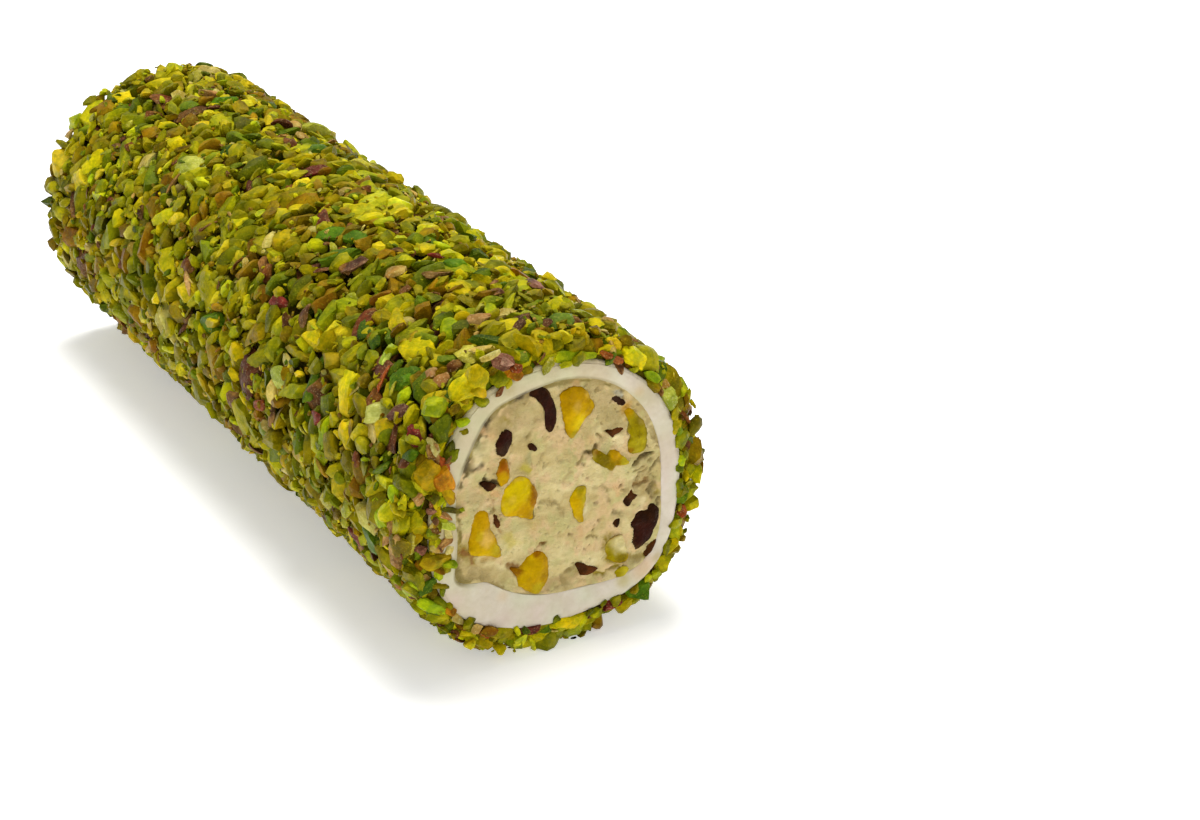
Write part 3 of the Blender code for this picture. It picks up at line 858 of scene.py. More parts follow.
        # Paint the shadow line along each end's inner edge: painted shade.
        angle = np.tile(TURN * np.arange(self.sectors) / self.sectors, self.edge_rings)
        back = len(rings) - 1 - self.edge_rings
        for gap_shades, first in ((self.front_gap_shades, 1), (self.back_gap_shades, back)):
            edge = slice(first * self.sectors, (first + self.edge_rings) * self.sectors)
            for swell, mark_tone in gap_shades:
                tint[edge] = paint(tint[edge], mark_tone.value, swell.rise(angle))
        skin.values = {"tint": tint, "grain": points.copy()}
        piece = skin.piece("white_layer_dressed", place, WHITE_SWEET.material(effects), 50.0)
        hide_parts("white_layer")
        return piece


@dataclass(frozen=True)
class Mark:
    """A crack, a stain, a painted shadow line or a painted highlight that a cut face shows, along a path
    of x and z in turn.
    """

    mark_tone: StainShadeAndHighlight
    strength: float
    width: float
    depth: float
    path: tuple[float, ...]

    def share(self, spots: Array, swell: Array) -> Array:
        """How much of the mark lies at each spot.

        Args:
            spots: Rows of x and z.
            swell: How much wider or narrower the mark is at each spot.

        Returns:
            Values from 0, clear of it, to 1 on its path.
        """
        nearest = np.full(len(spots), np.inf)
        path = np.reshape(np.array(self.path, float), (-1, 2))
        if len(path) == 1:
            path = np.repeat(path, 2, axis=0)
        for start, end in zip(path, path[1:]):
            along = end - start
            length = max(float(along @ along), 1e-9)
            part = np.clip((spots - start) @ along / length, 0.0, 1.0)
            apart = spots - (start + part[:, None] * along)
            nearest = np.minimum(nearest, np.hypot(apart[:, 0], apart[:, 1]))
        return np.exp(-((nearest / (0.5 * self.width * swell)) ** 2))


def gap_shade(first: float, last: float, width: float, mark_tone: StainShadeAndHighlight, strength: float = 0.9) -> Mark:
    """Painted shade that follows the white layer's inner edge between two directions, in degrees: the
    shadow line where the nougat meets the layer.
    """
    path = RollForm().filling.ring(np.radians(np.linspace(first, last, 7)), grow=-0.35)
    return Mark(mark_tone, strength, width, 0.0, tuple(path.ravel()))


# The first rows paint the shadow line along the filling's rim, where it meets the white layer: painted
# shade.
FRONT_MARKS = (
    gap_shade(60, 102, 0.9, StainShadeAndHighlight.MOSS), gap_shade(102, 117, 1.1, StainShadeAndHighlight.INK, 1), gap_shade(117, 130, 1.3, StainShadeAndHighlight.MOSS),
    gap_shade(130, 134, 1, StainShadeAndHighlight.INK), gap_shade(134, 147, 1, StainShadeAndHighlight.BARK, 1), gap_shade(147, 156, 1.2, StainShadeAndHighlight.INK),
    gap_shade(163, 165, 0.9, StainShadeAndHighlight.BARK), gap_shade(202, 217, 0.9, StainShadeAndHighlight.MOSS),
) + rows_of(
    Mark,
    (StainShadeAndHighlight.DUN, 0.8, 0.9, 0, (10.4, 13, 11.9, 10.9, 13.2, 8.4)),
    (StainShadeAndHighlight.SHADE, 0.7, 0.5, 0.15, (13.2, 8.4, 14.3, 6.2, 15.2, 3.4)),
    # The MOSS and SHADE marks near x -14.5, on this and the next four lines, paint the same shadow line at
    # the left rim: painted shade.
    (StainShadeAndHighlight.MOSS, 1, 0.8, 0.04, (-14.4, 1.3, -14.2, -0.4, -14, -2, -14.2, -3.2)),
    (StainShadeAndHighlight.SHADE, 0.9, 0.5, 0.04, (-14.5, -3.4, -14.5, -5.4)),
    (StainShadeAndHighlight.OLIVE, 1, 1.2, 0.04, (-13.8, -3.6, -13.1, -4.9, -12.3, -6.3)),
    (StainShadeAndHighlight.RUST, 1, 0.7, 0.04, (-13.6, -4.2, -12.9, -5.2, -12.4, -6.2)),
    (StainShadeAndHighlight.MOSS, 1, 0.9, 0.04, (-14.7, -5.8, -14.6, -7.4, -14.2, -8.8)),
    (StainShadeAndHighlight.SHADE, 0.9, 0.8, 0.1, (-12.6, -8, -11, -9, -9.6, -10.1, -8.2, -11.1)),
    (StainShadeAndHighlight.SHADE, 0.6, 0.5, 0.1, (-8.2, -11.5, -5.6, -12.6, -0.3, -13.2, 3.6, -13)),
    (StainShadeAndHighlight.INK, 0.95, 0.55, 0.7, (14.2, 2.9, 13.2, 2.6, 12.4, 2.6, 12, 2.1, 11.5, 1.8)),
    (StainShadeAndHighlight.BARK, 0.75, 0.55, 0.5, (15.4, 1.6, 14.7, 1.2, 14.1, 0.3)),
    (StainShadeAndHighlight.SHADE, 0.8, 0.5, 0.3, (13.2, 0.9, 12.3, 0.2, 12, -0.6)),
    (StainShadeAndHighlight.RUST, 0.9, 0.5, 0.5, (13.3, -0.6, 12.6, -1.1, 11.4, -1.3)),
    (StainShadeAndHighlight.BARK, 0.95, 0.7, 0.4, (14.5, -1.7, 13.8, -2.5, 14.1, -3.4)),
    (StainShadeAndHighlight.OLIVE, 0.8, 0.5, 0.3, (14.9, -2.2, 14.7, -3.3)),
    (StainShadeAndHighlight.BARK, 0.8, 0.35, 0.4, (15.2, -4, 14.8, -4.8)),
    (StainShadeAndHighlight.SHADE, 0.8, 0.7, 0.3, (3.1, 4.3, 3.6, 4.9)),
    (StainShadeAndHighlight.BARK, 0.9, 0.75, 0.5, (4.5, 5.2, 5.3, 5.4, 5.7, 5.9)),
    (StainShadeAndHighlight.SHADE, 0.8, 0.5, 0.3, (5.8, 7.4, 6.4, 6.9, 6.9, 6.4)),
    (StainShadeAndHighlight.SHADE, 0.6, 0.5, 0.3, (-2.2, 6.8, -2, 4.8)),
    (StainShadeAndHighlight.DUN, 0.7, 0.6, 0.15, (-0.9, 2.5, 0.5, 2.3, 1.9, 3.1)),
    (StainShadeAndHighlight.DUN, 0.7, 0.6, 0.15, (-0.2, 5.8, 0.6, 4.9, 1.5, 5)),
    (StainShadeAndHighlight.SHADE, 0.7, 0.7, 0.15, (-2.5, -0.1, -0.6, -0.7, 0.6, -1.9, 0.7, -3)),
    (StainShadeAndHighlight.SHADE, 0.75, 0.6, 0.2, (5.3, 0.2, 6.5, 0.1, 7.6, -0.9, 7.9, -2.2)),
    (StainShadeAndHighlight.RUST, 0.85, 0.5, 0.4, (-3.1, -6.4, -2.6, -5.9, -1.9, -5.9)),
    (StainShadeAndHighlight.INK, 0.9, 0.9, 0.12, (-12.8, 7.3, -12.3, 6.8, -11.4, 6.7, -10.8, 7.1)),
    (StainShadeAndHighlight.SHADE, 0.9, 0.8, 0.2, (-12.8, 6.4, -11.8, 6.4)),
    (StainShadeAndHighlight.INK, 0.95, 0.7, 0.3, (-11.7, 6.7, -11, 6.8, -10.6, 7.2)),
    (StainShadeAndHighlight.BARK, 0.85, 0.6, 0.04, (-12.9, 6.8, -12.7, 6.2, -13.4, 5.9)),
    (StainShadeAndHighlight.BARK, 0.7, 0.4, 0.3, (12, 5, 12.7, 4.4, 13.9, 3.9)),
    (StainShadeAndHighlight.SHADE, 0.8, 0.4, 0.3, (11.6, 0.9, 12.6, 1.2)),
    (StainShadeAndHighlight.INK, 0.95, 0.6, 0.5, (-10.8, 4.8, -10.2, 4.6, -9.4, 4.2, -8.2, 4)),
    (StainShadeAndHighlight.INK, 0.9, 0.4, 0.4, (-10.3, 5.3, -10.1, 4.6)),
    (StainShadeAndHighlight.SHADE, 0.8, 0.9, 0.2, (0.2, -11.4, 0.6, -12.4)),
    (StainShadeAndHighlight.SHADE, 0.7, 0.5, 0.3, (1, -10.9, 2.4, -10.5)),
    (StainShadeAndHighlight.OLIVE, 1, 0.6, 0.3, (5.4, -12.5, 6.8, -12.9, 8, -12.4, 9.2, -12.4)),
    (StainShadeAndHighlight.BARK, 0.9, 0.4, 0.4, (7.2, -12.6, 8.4, -12.3)),
    (StainShadeAndHighlight.SHADE, 0.7, 0.5, 0.3, (4.4, -6.8, 5.3, -7.2, 6, -7.5)),
    (StainShadeAndHighlight.OLIVE, 0.95, 0.9, 0.1, (7.9, -7.9, 7, -9.1, 7.3, -10.6, 8.7, -11.8)),
    (StainShadeAndHighlight.OLIVE, 0.95, 0.8, 0.2, (8.9, -11.6, 9.8, -11.5, 11.6, -11.8, 13.2, -11.9)),
    (StainShadeAndHighlight.RUST, 0.95, 1, 0.2, (-7.2, -8.1, -6.3, -8.8, -5.6, -9.8)),
    (StainShadeAndHighlight.AMBER, 0.5, 0.8, 0.2, (-10.9, -6, -9.2, -6.7)),
    (StainShadeAndHighlight.SHADE, 0.6, 0.9, 0.2, (-12.6, -7.2, -10.4, -8)),
    (StainShadeAndHighlight.RUST, 0.6, 0.7, 0.2, (-9.2, 1.9, -9, 0.7)),
    (StainShadeAndHighlight.RUST, 0.6, 0.6, 0.1, (-8.9, -1.2, -8.5, -2.8)),
    (StainShadeAndHighlight.SHADE, 0.7, 0.6, 0.2, (13.8, 5.8, 14.5, 4.9)),
    (StainShadeAndHighlight.BARK, 0.8, 0.6, 0.3, (8.4, -4.2, 9.3, -4.8)), (StainShadeAndHighlight.MOSS, 0.85, 0.8, 0.2, (-4.2, 9.9)),
    (StainShadeAndHighlight.GREEN, 0.7, 0.8, 0.1, (-12.6, 9.9, -12.1, 9)),
    (StainShadeAndHighlight.BLUSH, 0.6, 1.6, 0, (-10.3, 11.9, -9.2, 10.9)),
    (StainShadeAndHighlight.INK, 0.85, 0.8, 0.05, (-10.3, 12.8, -10, 12.5)),
    (StainShadeAndHighlight.BARK, 0.85, 0.7, 0.05, (-10.7, 11.4, -10.3, 11.2)),
    (StainShadeAndHighlight.OLIVE, 1, 1.5, 0, (-7.6, 12.8, -6.9, 12.4)), (StainShadeAndHighlight.SAGE, 0.8, 0.9, 0, (-3.9, 7.1, -3.8, 5.9)),
    (StainShadeAndHighlight.GREEN, 0.95, 0.9, 0, (-4.7, 5.3, -3.8, 4.7)),
    (StainShadeAndHighlight.GREEN, 0.6, 1.5, 0, (-7.3, -3.8, -6.5, -5)), (StainShadeAndHighlight.GREEN, 0.3, 1.6, 0, (-3.6, -3.2)),
    (StainShadeAndHighlight.SAGE, 0.6, 1.8, 0, (7.9, 10.2, 8.6, 8.6)), (StainShadeAndHighlight.SHADE, 0.8, 0.9, 0, (8.2, 13.9, 9.4, 12.7)),
    # A bluish grey patch beside the dark piece near (9, 12): painted highlight.
    (StainShadeAndHighlight.GREY_HIGHLIGHT, 0.75, 0.7, 0, (8.6, 12.7, 9.5, 12)),
    (StainShadeAndHighlight.SHADE, 0.5, 1.4, 0, (-12.2, 9.4, -11.9, 7.8)),
    # A pale cream patch: painted highlight.
    (StainShadeAndHighlight.PALE_HIGHLIGHT, 0.8, 0.9, 0, (-11.5, 9.2, -11.3, 7.5)),
    (StainShadeAndHighlight.SAGE, 0.45, 1.8, 0, (-12.3, 3.2, -11.6, 2.2)), (StainShadeAndHighlight.SAGE, 0.5, 1.8, 0, (-10.8, 9.9)),
    (StainShadeAndHighlight.BLUSH, 0.4, 1.4, 0, (-13.6, 1.2)),
    (StainShadeAndHighlight.SHADE, 0.55, 1.9, 0, (-1, -12.2, 1.4, -11.8, 3, -11.2)),
    (StainShadeAndHighlight.SHADE, 0.7, 1.7, 0, (10, -11.9, 12, -12.2)),
    (StainShadeAndHighlight.SHADE, 0.5, 1.4, 0, (-7.6, 13.6, -4.6, 14.2)), (StainShadeAndHighlight.DUN, 0.6, 4.4, 0, (-7.5, 12, -3.5, 12.5)),
    (StainShadeAndHighlight.DUN, 0.75, 4.2, 0, (5.5, 13.8, 7.5, 8.6)), (StainShadeAndHighlight.SHADE, 0.45, 3.6, 0, (12.2, 2.5, 12.8, -2.2)),
    (StainShadeAndHighlight.DUN, 0.6, 3, 0, (-12, -7.6, -7.6, -9.6)), (StainShadeAndHighlight.AMBER, 0.85, 1.2, 0, (10.1, 10.2, 10.5, 9.4)),
    (StainShadeAndHighlight.BLUSH, 0.5, 1.4, 0, (2.8, 15.3)), (StainShadeAndHighlight.BLUSH, 0.6, 1.1, 0, (8.8, -0.8, 8.9, -2)),
    (StainShadeAndHighlight.BLUSH, 0.5, 1.2, 0, (5.2, 6.8)), (StainShadeAndHighlight.BLUSH, 0.5, 0.8, 0, (3.3, -5.2, 3.4, -6.4)),
    # The pale cream patches on this and the next line are painted highlights.
    (StainShadeAndHighlight.BLUSH, 0.8, 0.9, 0, (-9.2, 3.1, -8.7, 2.5)), (StainShadeAndHighlight.PALE_HIGHLIGHT, 0.8, 1.1, 0, (8.6, 6.1, 9.4, 5.3)),
    (StainShadeAndHighlight.PALE_HIGHLIGHT, 0.6, 1.2, 0, (13, -3.6, 12.4, -4.6)), (StainShadeAndHighlight.PALE_HIGHLIGHT, 0.6, 0.6, 0, (4, -1.4, 4, -3.2)),
)
BACK_MARKS = rows_of(
    Mark,
    (StainShadeAndHighlight.INK, 0.9, 0.5, 0.7, (-8.6, 3, -6.8, 2, -6, 0.4)),
    (StainShadeAndHighlight.BARK, 0.9, 0.5, 0.7, (-13.4, 2.4, -11.6, 2.6, -9.9, 2)),
    (StainShadeAndHighlight.BARK, 0.9, 0.5, 0.7, (7.2, -5.4, 9, -5, 11.6, -5.7)),
    # This and the next three rows run along the filling's rim and paint the shadow line where it meets the
    # white layer: painted shade.
    (StainShadeAndHighlight.MOSS, 0.8, 0.5, 0.3, (11.2, 12, 7, 15, 2, 16.3, -2.6, 16.2)),
    (StainShadeAndHighlight.BARK, 0.9, 0.55, 0.4, (-2.6, 16.2, -6, 15.2, -9.2, 13.5, -11.4, 11.7)),
    (StainShadeAndHighlight.SHADE, 0.8, 0.5, 0.2, (14.6, 5.4, 15.3, 2, 15.2, -1.4)),
    (StainShadeAndHighlight.MOSS, 0.8, 0.6, 0.3, (-14.6, -1, -14.4, -4.4)),
    (StainShadeAndHighlight.SHADE, 0.75, 0.5, 0.3, (-3, 5.6, -1.6, 6.2, -0.4, 5.7)),
    (StainShadeAndHighlight.SHADE, 0.75, 0.5, 0.3, (2, -6.4, 3.4, -7.2, 4.9, -6.9)),
    (StainShadeAndHighlight.BARK, 0.85, 0.5, 0.4, (7.6, 4.2, 8.6, 5.4)),
    (StainShadeAndHighlight.MOSS, 0.85, 0.6, 0.3, (-8.8, -4.6, -7.8, -5.4)),
    (StainShadeAndHighlight.DUN, 0.8, 0.7, 0.1, (-12.6, -7.4, -9.8, -9.8, -6.4, -12)),
    (StainShadeAndHighlight.OLIVE, 0.6, 1.2, 0, (5, 12.2, 6.2, 11.6)), (StainShadeAndHighlight.BLUSH, 0.5, 1.2, 0, (0.4, 1.2, 0.8, 0)),
    (StainShadeAndHighlight.GREEN, 0.8, 1.1, 0, (-6.6, 6.6, -7.2, 5.8)), (StainShadeAndHighlight.AMBER, 0.7, 1, 0, (6.8, -8.4, 7.4, -7.8)),
    # The pale cream patch on this line is a painted highlight.
    (StainShadeAndHighlight.PALE_HIGHLIGHT, 0.7, 1.3, 0, (-1.4, -12.2)), (StainShadeAndHighlight.DUN, 0.6, 3.6, 0, (-4, -6.4, 0.6, -5.8)),
    (StainShadeAndHighlight.DUN, 0.6, 3.4, 0, (6, 12.6, 11, 7)), (StainShadeAndHighlight.SHADE, 0.4, 3, 0, (-12.6, 1, -12.2, -3.6)),
)


def loop_through(corners: tuple[float, ...], count: int) -> Array:
    """A smooth closed outline through a few corners.

    Args:
        corners: The x and z of each corner in turn.
        count: How many points the outline has.

    Returns:
        Rows of x and z, evenly spaced.
    """
    base = np.reshape(np.array(corners, float), (-1, 2))
    before, after = np.roll(base, 1, axis=0), np.roll(base, -1, axis=0)
    beyond = np.roll(base, -2, axis=0)
    t = np.linspace(0.0, 1.0, 12, endpoint=False)[:, None, None]
    curve = base + 0.5 * (after - before) * t
    curve = curve + (before - 2.5 * base + 2.0 * after - 0.5 * beyond) * t**2
    curve = curve + (1.5 * base - 0.5 * before - 1.5 * after + 0.5 * beyond) * t**3
    line = curve.transpose(1, 0, 2).reshape(-1, 2)
    closed = np.concatenate([line, line[:1]])
    run = np.concatenate([[0.0], np.cumsum(np.hypot(*np.diff(closed, axis=0).T))])
    spots = np.linspace(0.0, run[-1], count, endpoint=False)
    return columns(*(np.interp(spots, run, closed[:, axis]) for axis in (0, 1)))


def edge_gap(spots: Array, outline: Array) -> Array:
    """How far spots lie from an outline.

    Args:
        spots: Rows of x and z.
        outline: The closed outline's points in order.

    Returns:
        Distances, negative inside.
    """
    start, end = outline, np.roll(outline, -1, axis=0)
    along = end - start
    apart = spots[:, None] - start[None]
    part = (apart * along).sum(axis=2) / np.maximum((along * along).sum(axis=1), 1e-9)
    miss = apart - np.clip(part, 0.0, 1.0)[:, :, None] * along
    nearest = np.sqrt((miss * miss).sum(axis=2).min(axis=1))
    rises = (start[None, :, 1] > spots[:, 1:2]) != (end[None, :, 1] > spots[:, 1:2])
    slope = np.where(np.abs(along[:, 1]) < 1e-9, 1e-9, along[:, 1])
    crossing = start[:, 0] + (spots[:, 1:2] - start[:, 1]) * along[:, 0] / slope
    inside = (rises & (spots[:, :1] < crossing)).sum(axis=1) % 2 == 1
    return np.where(inside, -nearest, nearest)


def oval(
    x: float, z: float, length: float, width: float, tilt: float, taper: float = 0.0, bow: float = 0.0
) -> tuple[float, ...]:
    """The corners of a plain nut shape.

    Args:
        x: Its place across the face.
        z: Its height about the roll's axis.
        length: Its length.
        width: Its width.
        tilt: The lean of its length, in degrees.
        taper: How much wider its far end is.
        bow: How far its middle bends aside.

    Returns:
        The x and z of ten corners in turn.
    """
    turn, count = math.radians(tilt), 10
    corners = []
    for step in range(count):
        angle = TURN * step / count
        along = math.cos(angle)
        u = along * length / 2.0
        v = math.sin(angle) * width / 2.0 * (1.0 + taper * along) + bow * (1.0 - 1.5 * along * along)
        corners.append(x + u * math.cos(turn) - v * math.sin(turn))
        corners.append(z + u * math.sin(turn) + v * math.cos(turn))
    return tuple(corners)


class Flesh(Enum):
    """The colours of cut nut and chocolate."""

    LEMON = (212, 186, 10)
    GOLD = (202, 164, 4)
    AMBER = (188, 144, 2)
    BRONZE = (162, 122, 2)
    RUST = (138, 82, 2)
    ORANGE = (152, 76, 8)
    OLIVE = (152, 136, 4)
    MOSS = (120, 102, 0)
    PEAR = (188, 174, 36)
    APRICOT = (220, 180, 88)
    CREAM = (216, 202, 148)
    COCOA = (40, 19, 4)
    PLUM = (44, 15, 10)
    UMBER = (64, 34, 4)
    SMOKE = (54, 38, 26)
    CHESTNUT = (88, 50, 16)


@dataclass(frozen=True)
class CutPiece:
    """A nut or chocolate piece cut by the face, with the x and z of its corners there in turn.

    A spot is a patch of another colour: its x and z, its radius, the colour and its strength.
    """

    corners: tuple[float, ...]
    main: Flesh
    other: Flesh
    toward: float = 0.0
    rim: Flesh | None = None
    depth: float = 3.0
    spots: tuple[tuple[float, float, float, Flesh, float], ...] = ()
    dome: float = 0.08


FRONT_PISTACHIOS = rows_of(
    CutPiece,
    ((0.3, 14.2, 1.6, 14.9, 3.1, 14.9, 4.3, 14, 4.8, 12.9, 5.4, 11.8, 5.1, 10.9, 4.2, 10.2, 3.5, 9.3, 2.9,
     8.3, 2.1, 7.8, 1.4, 8.5, 1.1, 9.8, 0.7, 11.8), Flesh.AMBER, Flesh.GOLD, -70, Flesh.BRONZE, 3.6,
     ((1.5, 13.2, 1.6, Flesh.BRONZE, 0.6), (3, 9.8, 1.2, Flesh.LEMON, 0.8),
     (2.7, 12.2, 0.8, Flesh.APRICOT, 0.5), (2.4, 8.5, 0.6, Flesh.OLIVE, 0.8),
     (4.6, 11.2, 0.9, Flesh.BRONZE, 0.6))),
    ((9.9, 10, 10.8, 10.1, 11.6, 9.1, 12.6, 8, 13.1, 6.6, 13.3, 5.2, 13, 3.8, 11.8, 3.4, 10.6, 3.7, 10.3,
     4.8, 10.7, 6.1, 10.3, 7, 10.5, 8.2, 10, 9.1), Flesh.OLIVE, Flesh.PEAR, -70, Flesh.MOSS, 2.8,
     ((12, 7.9, 1.1, Flesh.MOSS, 0.7), (12, 6.9, 0.7, Flesh.OLIVE, 0.7), (11.9, 6, 0.5, Flesh.MOSS, 0.7),
     (10.4, 9.7, 0.9, Flesh.AMBER, 0.9), (10.6, 3.9, 0.6, Flesh.RUST, 0.7))),
    ((5.2, 4.9, 5.7, 5.4, 6.4, 4.5, 7.1, 4.1, 7.7, 4.8, 8.5, 4.6, 9.4, 3.8, 10.2, 3.1, 10.6, 2.2, 9.5,
     2.2, 8.8, 2.4, 8.1, 1.8, 7.3, 2.2, 6.3, 3, 5.4, 3.7), Flesh.MOSS, Flesh.AMBER, -10, Flesh.OLIVE, 3,
     ((8.6, 4, 1.1, Flesh.AMBER, 0.9), (6.6, 3.3, 1.1, Flesh.MOSS, 0.9), (7.9, 2.5, 0.8, Flesh.MOSS, 0.8),
     (9.9, 2.6, 0.9, Flesh.PEAR, 0.8), (5.6, 5.1, 0.5, Flesh.RUST, 0.7))),
    ((-8.3, 1.2, -7.8, 2.9, -6.8, 3.9, -5.4, 4.4, -4.4, 3.9, -3.6, 2.6, -3, 1.3, -3.2, 0.1, -3.6, -0.9,
     -3.8, -2.1, -5.1, -1.6, -6.5, -1, -7.9, -0.4), Flesh.LEMON, Flesh.AMBER, -80, Flesh.GOLD, 4,
     ((-3.5, 2.1, 0.9, Flesh.RUST, 0.9), (-3.3, 1.1, 0.9, Flesh.RUST, 0.9),
     (-3.5, 0.2, 0.7, Flesh.RUST, 0.8), (-6.6, 2, 1.2, Flesh.LEMON, 0.8),
     (-6.9, 1.5, 0.7, Flesh.APRICOT, 0.3), (-4.4, -1.2, 0.8, Flesh.BRONZE, 0.7))),
    ((1.7, -1.2, 2.2, 0.2, 3, 0.8, 4.1, 0.6, 4.1, -0.9, 3.8, -2.4, 3.7, -3.4, 3.8, -4.5, 3, -4.2, 2.3,
     -3.1), Flesh.GOLD, Flesh.PEAR, 0, Flesh.OLIVE, 3, ((3.2, 0.4, 0.8, Flesh.OLIVE, 0.9),
     (2.5, -1.4, 0.8, Flesh.GOLD, 0.8), (4, -2, 0.4, Flesh.APRICOT, 0.7),
     (3.5, -4.1, 0.6, Flesh.AMBER, 0.7))),
    ((-12.2, 0.2, -11.2, 1, -10.2, 0.5, -9.8, -1.4, -9.2, -3.2, -8.5, -5, -8.5, -6.3, -10, -5.8, -12,
     -5.2, -13, -4.2, -12.7, -2.2), Flesh.GOLD, Flesh.AMBER, 60, Flesh.BRONZE, 3.8,
     ((-10.4, -3, 1.2, Flesh.APRICOT, 0.9), (-11.4, -2.6, 0.6, Flesh.LEMON, 0.7),
     (-9.2, -5, 1, Flesh.PEAR, 0.6), (-12, -4.4, 0.9, Flesh.GOLD, 0.7))),
    ((-7.1, -8.3, -6, -8.5, -5.1, -7.6, -4.1, -7, -2.7, -7, -1.7, -8.2, -1.5, -9.9, -1.6, -11.4, -2.5,
     -12.6, -3.4, -13, -4.9, -12.1, -6, -11.1, -6.2, -9.9), Flesh.GOLD, Flesh.AMBER, 0, Flesh.BRONZE, 3.4,
     ((-6.5, -8.8, 1.1, Flesh.RUST, 0.9), (-3.1, -7.1, 0.8, Flesh.RUST, 0.9),
     (-3.3, -12.2, 1.1, Flesh.PEAR, 0.7), (-3.6, -9.2, 1.2, Flesh.GOLD, 0.8),
     (-2.1, -11, 0.8, Flesh.BRONZE, 0.7))),
    ((-8.7, 4.9, -8.6, 6.2, -8.2, 7.4, -7.5, 7.3, -7.1, 6.2, -6.9, 5, -7.3, 4, -8.2, 3.7), Flesh.AMBER,
     Flesh.ORANGE, 90, Flesh.BRONZE, 2.2, ((-7.8, 5, 0.7, Flesh.GOLD, 0.6),
     (-7.8, 6.8, 0.7, Flesh.RUST, 0.7))),
    ((8.7, -7.8, 7.6, -8.3, 7, -9.5, 7.4, -10.9, 8.7, -11.8, 10, -12.1, 10.6, -11.4, 10.2, -10.2, 9.9, -9,
     9.5, -8), Flesh.OLIVE, Flesh.CREAM, 50, Flesh.BRONZE, 2.6, ((9.3, -9.1, 1.5, Flesh.CREAM, 0.9),
     (9.6, -8.4, 0.9, Flesh.CREAM, 0.9), (9.9, -10, 0.8, Flesh.CREAM, 0.6),
     (9.4, -11.4, 0.9, Flesh.MOSS, 0.8)), 0.04),
    ((8.4, -13.3, 9.2, -12.7, 10.2, -12.7, 10.6, -13.4, 10, -14.3, 9, -14.2), Flesh.PEAR, Flesh.OLIVE,
     180, None, 1.6),
)
FRONT_CHOCOLATES = rows_of(
    CutPiece,
    ((-4, 15.3, -3.3, 16.2, -1.7, 15.8, -0.7, 14.1, -0.1, 12.2, -0.2, 10.6, -1, 9.4, -1.7, 10.2, -1.7, 12,
     -2.3, 13.5, -3.1, 14.6), Flesh.COCOA, Flesh.PLUM, -90, Flesh.COCOA),
    ((-8.8, 9.4, -8.3, 10.8, -7.3, 11.3, -6.5, 10.6, -6.7, 9.2, -7.4, 7.9, -8.4, 8.1), Flesh.PLUM,
     Flesh.SMOKE, -60, Flesh.COCOA, 2.8),
    ((-4.4, 8.3, -3.9, 8.6, -3.4, 8.3, -3, 7.6, -3.4, 7.3, -3.9, 7.7), Flesh.COCOA, Flesh.COCOA, 0, None,
     1.2),
    ((7.9, 12.2, 8.5, 12.3, 9.2, 11.8, 9.9, 11.2, 9.5, 10.8, 8.5, 11.3), Flesh.COCOA, Flesh.SMOKE, 120,
     None, 1.2),
    ((7.2, 7.6, 8, 7.7, 9, 7.8, 9.8, 7.3, 9.2, 7, 8.6, 6.8, 8, 6.5, 7.6, 7), Flesh.UMBER, Flesh.CHESTNUT,
     0, None, 1.2),
    ((10.9, -6.4, 12.1, -5.2, 13.2, -5.2, 14, -4.5, 15, -5.3, 15.2, -6.6, 14.8, -7.6, 14.3, -8.6, 14,
     -9.6, 13.1, -10.2, 11.8, -10.7, 11.2, -9.4, 11.3, -7.8), Flesh.PLUM, Flesh.COCOA, 60, Flesh.COCOA,
     3.6),
    ((15, -10, 15.1, -10.9, 14.6, -11.9, 13.6, -12.3, 12.9, -11.8, 13.3, -10.8, 14.2, -10.1), Flesh.UMBER,
     Flesh.UMBER, 200, None, 1.6),
    ((2.6, -10.3, 3.5, -10.5, 4.8, -11.3, 5.9, -11.9, 4.6, -12.4, 3.3, -12.2, 2.9, -11.4), Flesh.UMBER,
     Flesh.CHESTNUT, 0, Flesh.UMBER, 1.8),
    ((9.7, -3, 10.4, -2.2, 10.9, -1.6, 11.3, -2.3, 12, -2.8, 11.2, -3.3, 10.7, -4, 10, -3.7), Flesh.COCOA,
     Flesh.UMBER, 60, None, 1.6),
    ((8.2, -5.9, 8.6, -5.4, 9.2, -5.5, 9.2, -6.2, 8.7, -6.6), Flesh.COCOA, Flesh.UMBER, 180, None, 1),
    ((-10.9, 4.7, -10.1, 4.8, -9.2, 4.3, -8.9, 3.8, -9.7, 3.4, -10.4, 3.8), Flesh.COCOA, Flesh.UMBER, -20,
     None, 1.2),
    ((-9.3, 0.1, -8.8, -0.3, -8.6, -1.2, -8.5, -1.9, -8.9, -2, -9.3, -1), Flesh.UMBER, Flesh.CHESTNUT,
     -90, None, 1.2),
)
